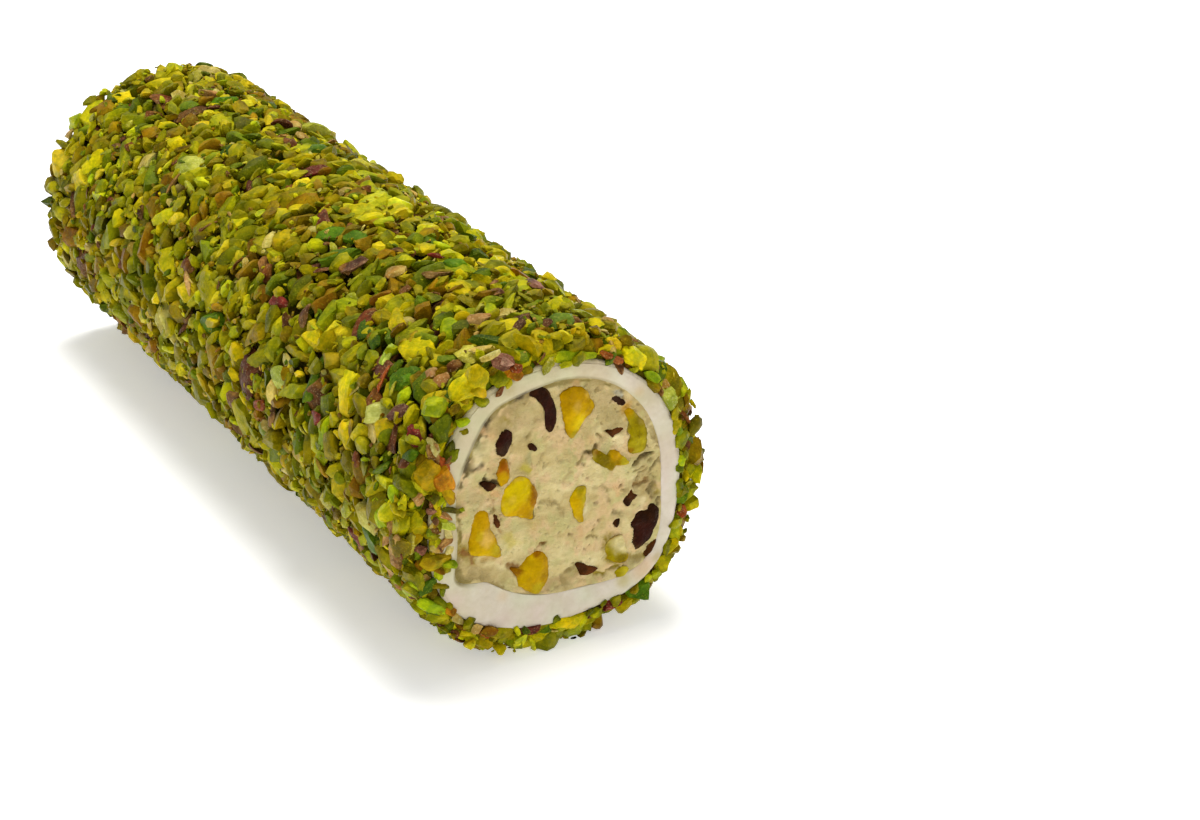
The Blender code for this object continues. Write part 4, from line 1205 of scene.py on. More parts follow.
BACK_PISTACHIOS = rows_of(
    CutPiece,
    (oval(-5.2, 10.9, 6.6, 4.2, 74, 0.3), Flesh.GOLD, Flesh.AMBER, -80, Flesh.BRONZE, 3.6,
     ((-5, 9.6, 1.2, Flesh.LEMON, 0.8), (-5.4, 12.6, 1, Flesh.BRONZE, 0.7))),
    (oval(3.4, 8.4, 6.4, 3.4, 118, -0.3), Flesh.LEMON, Flesh.OLIVE, 100, None, 3.2,
     ((4.2, 7.2, 1, Flesh.APRICOT, 0.7),)),
    (oval(9.8, 0.4, 6.4, 4.6, 8), Flesh.LEMON, Flesh.AMBER, -90, Flesh.GOLD, 4,
     ((12, 1.2, 0.9, Flesh.RUST, 0.9), (8.8, 0.8, 1.2, Flesh.LEMON, 0.7))),
    (oval(4.6, -2.6, 4, 2.1, 128), Flesh.OLIVE, Flesh.PEAR, 0, None, 2.4,
     ((4, -2, 0.8, Flesh.MOSS, 0.7),)),
    (oval(-3.2, 2.4, 3.8, 2.6, 70, -0.3), Flesh.GOLD, Flesh.APRICOT, 90, None, 2.6),
    (oval(-10.7, -1, 4, 2.2, 12), Flesh.PEAR, Flesh.OLIVE, 90, None, 2.4),
    (oval(-2.2, -8.6, 6.2, 2.8, 142), Flesh.GOLD, Flesh.BRONZE, 30, Flesh.BRONZE, 3,
     ((-4.4, -6.9, 0.8, Flesh.RUST, 0.9),)),
    (oval(-11.2, 6.2, 5.4, 2.9, 84), Flesh.GOLD, Flesh.AMBER, -90, None, 2.8,
     ((-11, 6.8, 0.8, Flesh.APRICOT, 0.9),)),
    (oval(10.3, -9.4, 3.8, 1.9, 24), Flesh.OLIVE, Flesh.PEAR, 90, None, 2),
)
BACK_CHOCOLATES = rows_of(
    CutPiece,
    (oval(0.2, 13.2, 6.2, 1.5, 76, bow=0.8), Flesh.COCOA, Flesh.PLUM, 60),
    (oval(4.8, 2.8, 4.8, 3.3, 82), Flesh.PLUM, Flesh.COCOA, 90, Flesh.COCOA, 3.4),
    (oval(-5.2, -3.5, 3.6, 3.4, 20), Flesh.PLUM, Flesh.SMOKE, 90, Flesh.COCOA, 3.4),
    (oval(-7.9, -8, 3.9, 2.2, 168), Flesh.UMBER, Flesh.COCOA, 90, None, 2.4),
    (oval(6.6, -11.6, 3, 1.1, 14), Flesh.UMBER, Flesh.CHESTNUT, 0, None, 1.4),
    (oval(1.2, -4.3, 2.2, 1.4, 160), Flesh.COCOA, Flesh.UMBER, 0, None, 1.4),
    (oval(10.6, 7.8, 2, 1.1, 60), Flesh.COCOA, Flesh.SMOKE, 0, None, 1.4),
)


@dataclass(frozen=True)
class CutEnd:
    """One cut end of the roll and all that it shows."""

    label: str
    side: int
    pistachios: tuple[CutPiece, ...]
    chocolates: tuple[CutPiece, ...]
    marks: tuple[Mark, ...]


CUT_ENDS = (
    CutEnd("front", -1, FRONT_PISTACHIOS, FRONT_CHOCOLATES, FRONT_MARKS),
    CutEnd("back", 1, BACK_PISTACHIOS, BACK_CHOCOLATES, BACK_MARKS),
)


@dataclass
class CutPieces:
    """The nut and chocolate pieces that the two cut faces show, each an object of its own."""

    form: RollForm
    end: CutEnd
    sides: int = 64
    rings: tuple[float, ...] = (0.14, 0.28, 0.42, 0.56, 0.68, 0.79, 0.88, 0.95, 0.99)
    heart_grid: int = 24
    set_back: float = 0.1
    edge: float = 0.1
    wobble: float = 0.12
    brightness: float = 0.86
    smear: float = 0.3
    dark_smear: float = 0.05
    smear_colour: Colour = (186, 162, 84)
    seed: int = 47

    def _outline(self, piece: CutPiece) -> Array:
        """A piece's outline in the cut face, a little uneven.

        Args:
            piece: The piece.

        Returns:
            Rows of x and z.
        """
        outline = loop_through(piece.corners, self.sides)
        flat = columns(outline[:, 0], 5.0, outline[:, 1])
        noise = ValueNoise(self.seed)
        coarse, fine = (noise.aside(flat, cell, 33.0) for cell in (0.6, 0.25))
        return outline + self.wobble * coarse + 0.5 * self.wobble * fine

    def _heart(self, outline: Array) -> Array:
        """The spot inside an outline that is farthest from its edge.

        Args:
            outline: The outline's points.

        Returns:
            Its x and z.
        """
        low, high = outline.min(axis=0), outline.max(axis=0)
        lines = [np.linspace(low[axis], high[axis], self.heart_grid) for axis in (0, 1)]
        spots = columns(*(part.ravel() for part in np.meshgrid(*lines)))
        return spots[np.argmin(edge_gap(spots, outline))]

    def _tint(
        self, piece: CutPiece, heart: Array, points: Array, out: Array, noise: ValueNoise
    ) -> Array:
        """The colours over a piece.

        Args:
            piece: The piece.
            heart: Its middle.
            points: Rows of x, y and z.
            out: How near each point is to the piece's edge, from 0 to 1.
            noise: What makes the colours wander.

        Returns:
            Linear colours, one row for each point.
        """
        lean = math.radians(piece.toward)
        spots = points[:, (0, 2)]
        half = np.abs(np.reshape(piece.corners, (-1, 2)) - heart).max()
        across = (spots - heart) @ np.array([math.cos(lean), math.sin(lean)])
        across = across / half + 0.35 * noise.at(points, 1.3)
        tint = paint(linear(piece.main.value), piece.other.value, smooth_step(across, -0.3, 0.6))
        if piece.rim:
            edge = smooth_step(out + 0.2 * noise.at(points, 0.8), 0.78, 1.05) * 0.7
            tint = paint(tint, piece.rim.value, edge)
        for x, z, radius, flesh, strength in piece.spots:
            near = np.hypot(spots[:, 0] - x, spots[:, 1] - z) / radius
            near = near + 0.3 * noise.at(points + 21.0, 0.7)
            tint = paint(tint, flesh.value, strength * smooth_step(-near, -1.25, -0.45))
        tint = self.brightness * tint * (1.0 + 0.12 * noise.at(points + 40.0, 0.5))[:, None]
        film = 0.3 * noise.at(points + 9.0, 1.5) + 0.2 * noise.at(points, 0.5)
        most = self.smear if piece in self.end.pistachios else self.dark_smear
        return paint(tint, self.smear_colour, most * smooth_step(out + film, 0.95, 1.15))

    def _skin(self, piece: CutPiece, noise: ValueNoise) -> Skin:
        """Builds one piece from its domed cut face to its rounded end inside.

        Args:
            piece: The piece.
            noise: What makes it uneven.

        Returns:
            The piece's closed skin.
        """
        side = self.end.side
        outline = self._outline(piece)
        heart = self._heart(outline)
        size = 2.0 * abs(float(edge_gap(heart[None], outline)[0]))
        face = self.form.face_y - self.set_back
        steps = [(share, piece.dome * size * (1.0 - share**3)) for share in self.rings]
        steps += [(1.0, -self.edge), (1.0, -0.55 * piece.depth), (0.9, -0.8 * piece.depth)]
        steps += [(0.6, -piece.depth)]
        rings = []
        out = []
        for share, rise in steps:
            spots = heart + (outline - heart) * share
            ring = columns(spots[:, 0], face + rise, spots[:, 1])
            if rise >= 0.0:
                ring[:, 1] += 0.12 * noise.at(ring, 1.6) + 0.06 * noise.at(ring, 0.6)
            ring[:, 1] *= side
            rings.append(ring)
            out.append(np.full(self.sides, share if rise >= 0.0 else 1.0))
        skin = loft(rings)
        near = np.arange(self.sides)
        after = (near + 1) % self.sides
        count = len(skin.points)
        last = count - self.sides
        crown = [[heart[0], rings[0][:, 1].mean(), heart[1]]]
        heel = [[heart[0], side * (face - piece.depth), heart[1]]]
        caps = [columns(after, near, count), columns(last + near, last + after, count + 1)]
        points = np.concatenate([skin.points, crown, heel])
        triangles = np.concatenate([skin.triangles, *caps])
        tint = self._tint(piece, heart, points, np.concatenate([*out, [0.0, 1.0]]), noise)
        values = {"tint": tint, "grain": points + [7.0 * heart[0], 0.0, 5.0 * heart[1]]}
        return Skin(points, triangles, values).facing_out()

    def build(self, place: Vector, effects: Effects) -> list[Piece]:
        """Makes every piece of this cut end.

        Args:
            place: The roll's axis in metres.
            effects: The shared effects.

        Returns:
            The pieces' objects.
        """
        made = []
        groups = {"pistachio": (KERNEL, self.end.pistachios)}
        groups["chocolate"] = (DARK_SWEET, self.end.chocolates)
        for kind, (finish, group) in groups.items():
            material = finish.material(effects)
            for index, cut in enumerate(group):
                noise = ValueNoise(self.seed + 31 * index)
                node = f"{kind}_{self.end.label}_{index + 1:02d}"
                piece = self._skin(cut, noise).piece(f"{node}_dressed", place, material, 55.0)
                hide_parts(node)
                made.append(piece)
        return made

    def hollows(self, spots: Array) -> tuple[Array, Array]:
        """Where the filling gives way to the pieces.

        Args:
            spots: Rows of x and z in the cut face.

        Returns:
            How deep inside a piece each spot is, and how near to one's edge, from 0 to 1.
        """
        inside, shade = np.zeros((2, len(spots)))
        for cut in (*self.end.pistachios, *self.end.chocolates):
            outline = self._outline(cut)
            low, high = outline.min(axis=0) - 0.8, outline.max(axis=0) + 0.8
            close = np.flatnonzero(((spots > low) & (spots < high)).all(axis=1))
            gap = edge_gap(spots[close], outline)
            inside[close] = np.maximum(inside[close], smooth_step(-gap, 0.04, 0.3))
            shade[close] = np.maximum(shade[close], np.exp(-((np.maximum(gap, 0.0) / 0.4) ** 2)))
        return inside, shade


@dataclass
class Filling:
    """The nougat rod with its torn, porous cut faces."""

    form: RollForm
    ends: tuple[CutPieces, ...]
    cells: int = 200
    pores: int = 330
    seed: int = 11
    cream: Colour = (204, 188, 134)
    tan: Colour = (186, 166, 110)
    pale: Colour = (210, 196, 146)
    olive: Colour = (184, 176, 116)
    rosy: Colour = (208, 178, 132)
    tear: Colour = (146, 126, 72)
    # The colour of the painted shade in the pits.
    pit: Colour = (86, 68, 26)
    # Painted shade round the pieces' edges.
    nut_edge_shade: Colour = (150, 122, 50)
    piece_hollow: float = 2.6
    least_swell: float = 0.25

    def _disc(self) -> tuple[Array, Array, Array, Array]:
        """An even mesh of the section.

        Returns:
            Each point's direction and share of the way out, the triangles, and the rim's points
            in order.
        """
        count = self.cells + 1
        line = np.linspace(-1, 1, count)
        a, b = (part.ravel() for part in np.meshgrid(line, line, indexing="ij"))
        flat = np.abs(a) >= np.abs(b)
        with np.errstate(divide="ignore", invalid="ignore"):
            reach = np.where(flat, a, b)
            angle = np.where(flat, math.pi / 4 * b / a, math.pi / 2 - math.pi / 4 * a / b)
        angle = np.where(np.isfinite(angle), angle, 0.0)
        angle = np.where(reach < 0.0, angle + math.pi, angle)
        grid = np.arange(count * count).reshape(count, count)
        one, two = grid[:-1, :-1].ravel(), grid[1:, :-1].ravel()
        three, four = grid[1:, 1:].ravel(), grid[:-1, 1:].ravel()
        triangles = np.concatenate([columns(one, two, three), columns(one, three, four)])
        rim = np.concatenate([grid[:-1, 0], grid[-1, :-1], grid[:0:-1, -1], grid[0, :0:-1]])
        return angle, np.abs(reach), triangles, rim

    def _pits(self, spots: Array, flat: Array, noise: ValueNoise, seed: int) -> tuple[Array, Array]:
        """The small torn hollows of the cut nougat, more of them towards its right side.

        Args:
            spots: Rows of x and z.
            flat: The same spots as points in space.
            noise: What makes the hollows ragged.
            seed: The seed of their places.

        Returns:
            How deep each spot lies in a hollow in millimetres, and how much painted shade darkens it.
        """
        draw = np.random.default_rng(seed)
        depth, dark = np.zeros((2, len(spots)))
        angle = draw.uniform(0.0, TURN, self.pores)
        centres = self.form.filling.ring(angle, scale=np.sqrt(draw.uniform(0.0, 0.97, self.pores)))
        ragged = spots + 0.22 * noise.aside(flat, 0.4, 20.0)
        for centre in centres:
            busy = centre[0] > 3.0 + 4.0 * draw.uniform(-1.0, 1.0)
            size = draw.uniform(0.08, 0.34 if busy else 0.2)
            slim = draw.uniform(0.25, 0.9)
            lean = draw.normal(0.3, 0.7)
            close = np.flatnonzero(np.abs(ragged - centre).max(axis=1) < 1.3)
            apart = ragged[close] - centre
            along = apart[:, 0] * math.cos(lean) + apart[:, 1] * math.sin(lean)
            aside = (apart[:, 1] * math.cos(lean) - apart[:, 0] * math.sin(lean)) / slim
            pit = np.exp(-((np.hypot(along, aside) / size) ** 2))
            depth[close] = np.maximum(depth[close], pit * size * draw.uniform(0.6, 1.6))
            dark[close] = np.maximum(dark[close], pit * draw.uniform(0.1, 0.9 if busy else 0.55))
        return depth, dark

    def _cream(self, flat: Array, wrinkle: Array, dark: Array, noise: ValueNoise) -> Array:
        """The nougat's colours, with its fine tears and the painted shade in its pits.

        Args:
            flat: The face's spots as points in space.
            wrinkle: The fine drawn lines of the cut.
            dark: How much painted shade darkens each spot, in the pits.
            noise: What makes the colours wander.

        Returns:
            Linear colours, one row for each spot.
        """
        broad = smooth_step(noise.at(flat + 10.0, 4.2) + 0.4 * noise.at(flat, 1.3), -0.5, 0.6)
        milky = smooth_step(noise.at(flat + 80.0, 2.4) + 0.3 * noise.at(flat, 0.8), 0.1, 0.8)
        tint = paint(linear(self.tan), self.cream, broad)
        tint = paint(tint, self.pale, 0.55 * milky)
        for tone, offset in ((self.olive, 120.0), (self.rosy, 160.0)):
            blotch = noise.at(flat + offset, 1.7) + 0.5 * noise.at(flat + offset, 0.6)
            tint = paint(tint, tone, 0.75 * smooth_step(blotch, 0.0, 0.7))
        tint = paint(tint, self.tear, 0.14 * smooth_step(wrinkle, 0.35, 1.0))
        return paint(tint, self.pit, dark)

    def _face(self, pieces: CutPieces) -> tuple[Array, Array]:
        """One cut face.

        Args:
            pieces: The pieces set in this face.

        Returns:
            The face's points and its linear colours.
        """
        angle, reach, _, _ = self._disc()
        side = pieces.end.side
        noise = ValueNoise(self.seed + 5 + side)
        spots = self.form.filling.ring(angle, scale=reach)
        flat = columns(spots[:, 0], 10.0 * side, spots[:, 1])
        drawn = columns(flat[:, 0] / 3.2, flat[:, 1], flat[:, 2] + 0.25 * flat[:, 0])
        wrinkle = noise.at(drawn, 0.42) + 0.5 * noise.at(drawn + 50.0, 0.2)
        torn = 0.25 + 0.22 * noise.at(flat, 3.4) + 0.12 * noise.at(flat, 1.1)
        torn += 0.06 * noise.at(flat + 30.0, 0.4) + 0.025 * wrinkle
        depth, dark = self._pits(spots, flat, noise, self.seed + side)
        tint = self._cream(flat, wrinkle, dark, noise)
        shift, fine = (noise.aside(flat, cell, 20.0) for cell in (1.0, 0.32))
        ragged = spots + 0.3 * shift + 0.14 * fine
        swell = 0.95 + 0.7 * noise.at(flat + 71.0, 0.9) + 0.3 * noise.at(flat + 43.0, 0.35)
        swell = np.maximum(swell, self.least_swell)
        broken = 0.5 + 0.5 * smooth_step(noise.at(flat + 17.0, 0.6), -0.5, 0.15)
        # Cracks and stains, the painted shadow line along the rim, painted shade bands and painted
        # highlights.
        for mark in pieces.end.marks:
            soft = mark.depth == 0.0
            share = mark.share(spots if soft else ragged, swell)
            share = share if soft else share * broken
            depth = np.maximum(depth, share * mark.depth)
            tint = paint(tint, mark.mark_tone.value, np.clip(share * 1.3, 0.0, 1.0) * mark.strength)
        inside, shade = pieces.hollows(spots)
        lap = smooth_step(noise.at(flat + 27.0, 0.8) + 0.4 * noise.at(flat, 0.35), 0.0, 0.6)
        torn = torn * (1.0 - 0.8 * shade) + (0.12 - 0.17 * lap) * shade
        depth = depth * (1.0 - inside) + inside * self.piece_hollow
        # Painted shade round the pieces' edges, in patches.
        shade = 0.28 * shade * smooth_step(noise.at(flat + 5.0, 0.9), -0.4, 0.6)
        rim = smooth_step(reach, 0.93, 1.0)
        level = 0.05 + 0.12 * np.maximum(noise.at(flat + 61.0, 1.6), 0.0)
        torn = torn * (1.0 - rim) + level * rim
        points = columns(spots[:, 0], side * (self.form.face_y - (torn + depth)), spots[:, 1])
        return points, paint(tint, self.nut_edge_shade, shade)

    def build(self, place: Vector, effects: Effects) -> Piece:
        """Makes the filling.

        Args:
            place: The roll's axis in metres.
            effects: The shared effects.

        Returns:
            The filling's object.
        """
        _, _, triangles, rim = self._disc()
        points, tint = (np.concatenate(part) for part in zip(*map(self._face, self.ends)))
        count = len(points) // 2
        after = np.roll(rim, -1)
        wall = columns(rim, after, count + after), columns(rim, count + after, count + rim)
        skin = Skin(points, np.concatenate([triangles[:, ::-1], triangles + count, *wall]))
        skin.values = {"tint": tint, "grain": points.copy()}
        piece = skin.facing_out().piece("filling_dressed", place, NOUGAT.material(effects), 70.0)
        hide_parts("filling")
        return piece


class Kind(Enum):
    """The kinds of chopped piece in the coat."""

    OLIVE = "olive"
    YELLOW = "yellow"
    GREEN = "green"
    BROWN = "brown"
    SKIN = "skin"
    PALE = "pale"


@dataclass(frozen=True)
class ChipKind:
    """What one kind of chopped piece is like."""

    share: float
    shades: tuple[Shade, ...]
    slimness: Span = (0.38, 0.92)
    flatness: Span = (0.45, 0.95)
    bend: float = 0.05
    finish: SweetFinish = NUT_FLESH


CHIP_KINDS = {
    Kind.OLIVE: ChipKind(
        0.36,
        (
            ((178, 164, 8), (128, 120, 4)), ((162, 154, 6), (108, 108, 4)), ((148, 140, 4), (122, 108, 2)),
            ((192, 182, 18), (148, 140, 6)), ((172, 170, 8), (120, 122, 4)),
        ),
    ),
    Kind.YELLOW: ChipKind(
        0.2,
        (
            ((222, 206, 14), (186, 172, 8)), ((208, 190, 8), (170, 156, 6)),
            ((230, 216, 40), (200, 176, 10)), ((204, 184, 12), (164, 142, 8)),
            ((212, 212, 20), (164, 170, 12)),
        ),
    ),
    Kind.GREEN: ChipKind(
        0.13,
        (
            ((122, 134, 8), (82, 94, 4)), ((104, 122, 8), (60, 82, 6)), ((142, 150, 12), (92, 102, 6)),
            ((118, 124, 6), (92, 90, 4)),
        ),
        (0.4, 0.8),
    ),
    Kind.BROWN: ChipKind(
        0.16,
        (
            ((160, 136, 8), (114, 88, 4)), ((156, 118, 12), (126, 82, 8)), ((174, 146, 10), (100, 76, 4)),
            ((170, 134, 8), (130, 92, 4)), ((150, 132, 6), (108, 90, 2)),
        ),
    ),
    Kind.SKIN: ChipKind(
        0.075,
        (
            ((136, 96, 44), (86, 44, 24)), ((112, 64, 40), (92, 42, 30)), ((152, 114, 62), (76, 38, 24)),
            ((128, 84, 34), (112, 54, 26)),
        ),
        (0.4, 0.75), (0.18, 0.4), 0.3, NUT_SKIN,
    ),
    Kind.PALE: ChipKind(
        0.06,
        (
            ((214, 204, 80), (164, 158, 30)), ((204, 202, 60), (150, 156, 24)),
            ((222, 206, 120), (186, 158, 66)), ((214, 184, 106), (184, 136, 66)),
        ),
        (0.45, 0.8), (0.3, 0.65), 0.15, NUT_PALE,
    ),
}


class Look(Enum):
    """The coat's most noticeable pieces: the kind that each belongs to, and its shade."""

    BRIGHT = (Kind.YELLOW, (230, 214, 14), (212, 188, 8))
    HONEY = (Kind.YELLOW, (216, 196, 12), (186, 160, 4))
    DARK = (Kind.GREEN, (96, 92, 6), (62, 56, 4))
    LEAF = (Kind.GREEN, (122, 132, 10), (80, 92, 6))
    # A pale pink piece laid on a purple skin as its painted highlight.
    PINK_HIGHLIGHT = (Kind.SKIN, (196, 150, 132), (150, 104, 88))
    GOLD = (Kind.BROWN, (200, 170, 14), (160, 122, 10))
    ORANGE = (Kind.BROWN, (210, 138, 20), (152, 90, 12))
    OLIVE = (Kind.OLIVE, (184, 172, 12), (138, 130, 8))
    LIME = (Kind.OLIVE, (184, 198, 14), (146, 166, 10))
    GREEN = (Kind.GREEN, (110, 148, 24), (70, 108, 14))
    DEEP_GREEN = (Kind.GREEN, (70, 100, 14), (52, 80, 10))
    BLUE_GREEN = (Kind.GREEN, (104, 134, 40), (78, 106, 24))
    MAROON = (Kind.SKIN, (126, 40, 36), (94, 26, 24))
    RED_TAN = (Kind.SKIN, (164, 84, 36), (132, 54, 22))
    PURPLE = (Kind.SKIN, (140, 96, 74), (88, 50, 42))
    TAN = (Kind.SKIN, (182, 144, 80), (150, 104, 52))
    PINK = (Kind.PALE, (206, 160, 104), (180, 122, 72))
    PALE_GREEN = (Kind.PALE, (202, 206, 84), (154, 166, 50))
    CREAM = (Kind.PALE, (224, 210, 140), (204, 176, 90))

    @property
    def kind(self) -> Kind:
        """The kind that a piece of this look belongs to."""
        return self.value[0]

    @property
    def shade(self) -> Shade:
        """The colours of a piece of this look."""
        return self.value[1:]


@dataclass(frozen=True)
class CoatFeature:
    """A noticeable piece of the coat: its place round and along the roll, its size and its look."""

    angle: float
    y: float
    length: float
    width: float
    turn: float
    look: Look


COAT_FEATURES = rows_of(
    CoatFeature,
    (124, 61.9, 7.4, 5.6, 62, Look.GOLD), (120, 25.4, 7.2, 4.6, 53, Look.PALE_GREEN),
    (128, 3.4, 5.4, 4.4, 8, Look.BRIGHT), (143, 21.2, 6.4, 3, 59, Look.BRIGHT),
    (145, 51.9, 5.6, 3.6, 47, Look.BRIGHT), (93, 4.5, 6, 3, -13, Look.MAROON),
    (107, -18.4, 9.5, 2.6, 56, Look.GREEN), (114, -27.7, 4.4, 3.2, 43, Look.PURPLE),
    (141, -20.5, 4.6, 1.8, 82, Look.MAROON), (143, -31.8, 4.8, 3.4, 78, Look.BRIGHT),
    (156, 0.2, 8.2, 5.4, -68, Look.OLIVE), (149, -9, 7, 3.6, 37, Look.OLIVE),
    (158, 5.7, 4.7, 1.3, -50, Look.PINK), (137, 9.6, 5.9, 4.4, 46, Look.OLIVE),
    (119, 16.9, 5.9, 4.6, 28, Look.OLIVE), (108, -0.2, 8.4, 2.8, 26, Look.OLIVE),
    (156, 45.2, 5.6, 3, 72, Look.LIME), (132, 25.2, 4.3, 2, -28, Look.TAN),
    (118, 35, 6.2, 3, -82, Look.BRIGHT), (104, 34.5, 3.6, 3, -21, Look.BRIGHT),
    (76, 16.2, 6, 3.8, -33, Look.BLUE_GREEN), (106, 22.2, 5, 3.2, 26, Look.DEEP_GREEN),
    (88, 48.4, 3.4, 1.8, 40, Look.PINK), (86, 43.6, 5.4, 3.4, 3, Look.GREEN),
    (173, 13.6, 7.7, 2.8, -10, Look.OLIVE), (157, -17.4, 6.4, 3, 51, Look.GOLD),
    (114, -22.8, 6.2, 2.8, 37, Look.GREEN), (94, -16.9, 4, 2.6, 3, Look.BRIGHT),
    (110, -5.1, 3.4, 2.6, 35, Look.BRIGHT), (137, 34.8, 4.4, 3.2, 26, Look.OLIVE),
    (165, -3.9, 6.6, 3.2, 56, Look.GREEN), (151, -45.3, 6.4, 4.4, -20, Look.BRIGHT),
    (154, -37.1, 7.2, 2, -17, Look.GREEN), (165, -40.9, 3.4, 2.2, 68, Look.MAROON),
    (139, -52, 3.9, 1.3, -19, Look.RED_TAN), (135, -55.6, 5, 3.4, 60, Look.GREEN),
    (162, -49.3, 4.4, 3.2, -40, Look.BRIGHT), (152, -57.9, 5.6, 3.4, 60, Look.GOLD),
    (144, -59, 4.5, 2.2, 57, Look.PURPLE), (148, -64.5, 3.2, 1.8, -80, Look.MAROON),
    (-179, -63.5, 5.8, 2.4, 31, Look.TAN), (178, -61, 4.4, 2.6, -24, Look.LIME),
    (167, -43.9, 5.2, 1.9, 1, Look.LIME), (180, -42.3, 5.4, 2.4, 32, Look.LIME),
    (163, -28.3, 4.4, 3.2, -86, Look.PALE_GREEN), (178, -23.4, 3.2, 1.6, 66, Look.RED_TAN),
    (131, -45, 3.8, 2.1, -74, Look.DEEP_GREEN), (124, -52.8, 6.6, 4.2, 70, Look.BRIGHT),
    (132, -49.6, 3.2, 1.4, -19, Look.PALE_GREEN), (139, -42.3, 4.6, 3.4, 41, Look.OLIVE),
    (128, -58.9, 2.8, 1.7, 68, Look.PINK), (-161, -50.7, 4, 2.4, 81, Look.MAROON),
    (-168, -57.1, 4.4, 2.8, -53, Look.GREEN), (-156, -60.5, 4.4, 3.4, -84, Look.ORANGE),
    (-152, -40.8, 4.2, 2.6, 68, Look.GOLD), (-165, -28.7, 4.6, 3, 73, Look.GOLD),
    (91, -35.1, 2.6, 1.7, 34, Look.MAROON), (99, -39.8, 4.3, 2.6, 59, Look.TAN),
    (88, -38.5, 3.9, 3, 53, Look.GREEN), (77, -40.8, 7.6, 4, 76, Look.BRIGHT),
    (96, -46.3, 6, 3.2, 73, Look.BRIGHT), (78, -23.9, 6, 3.2, -15, Look.BRIGHT),
    (70, -47.2, 5.4, 3, -67, Look.PURPLE), (79, -61, 5.6, 3.4, -35, Look.BLUE_GREEN),
    (97, -59.7, 5.6, 3.8, -3, Look.BRIGHT), (103, -55.7, 3.4, 2, 34, Look.PINK),
    (105, -62.6, 8.8, 1.9, 53, Look.DEEP_GREEN), (112, -53.9, 5.2, 3.6, 79, Look.LIME),
    (121, -50.4, 6, 3.4, 48, Look.OLIVE), (130, -41.4, 3.8, 2.6, -65, Look.DEEP_GREEN),
    (121, -44.8, 6.6, 2.4, -71, Look.BRIGHT), (135, -63.4, 4.4, 3.2, 42, Look.OLIVE),
    (110, -63, 5.2, 1.5, 31, Look.CREAM), (128, -62, 2.6, 1.8, 28, Look.PINK),
    (134, -55.3, 4.3, 2.4, 69, Look.GREEN), (139, -57.6, 2.6, 1.9, 17, Look.LIME),
    (146, -64.2, 3.2, 1.5, -70, Look.MAROON), (153, -65, 2.9, 1.7, 65, Look.DEEP_GREEN),
    (-173, -64.8, 6, 2, 13, Look.TAN), (168, -64.2, 2.8, 1.6, -13, Look.LIME),
    (-158, -65, 4.4, 2.2, 63, Look.LIME),
)


@dataclass(frozen=True)
class EdgeFeature:
    """A noticeable piece that stands against the white layer's edge at the front cut."""

    x: float
    z: float
    length: float
    width: float
    turn: float
    look: Look
    forward: float = 0.5


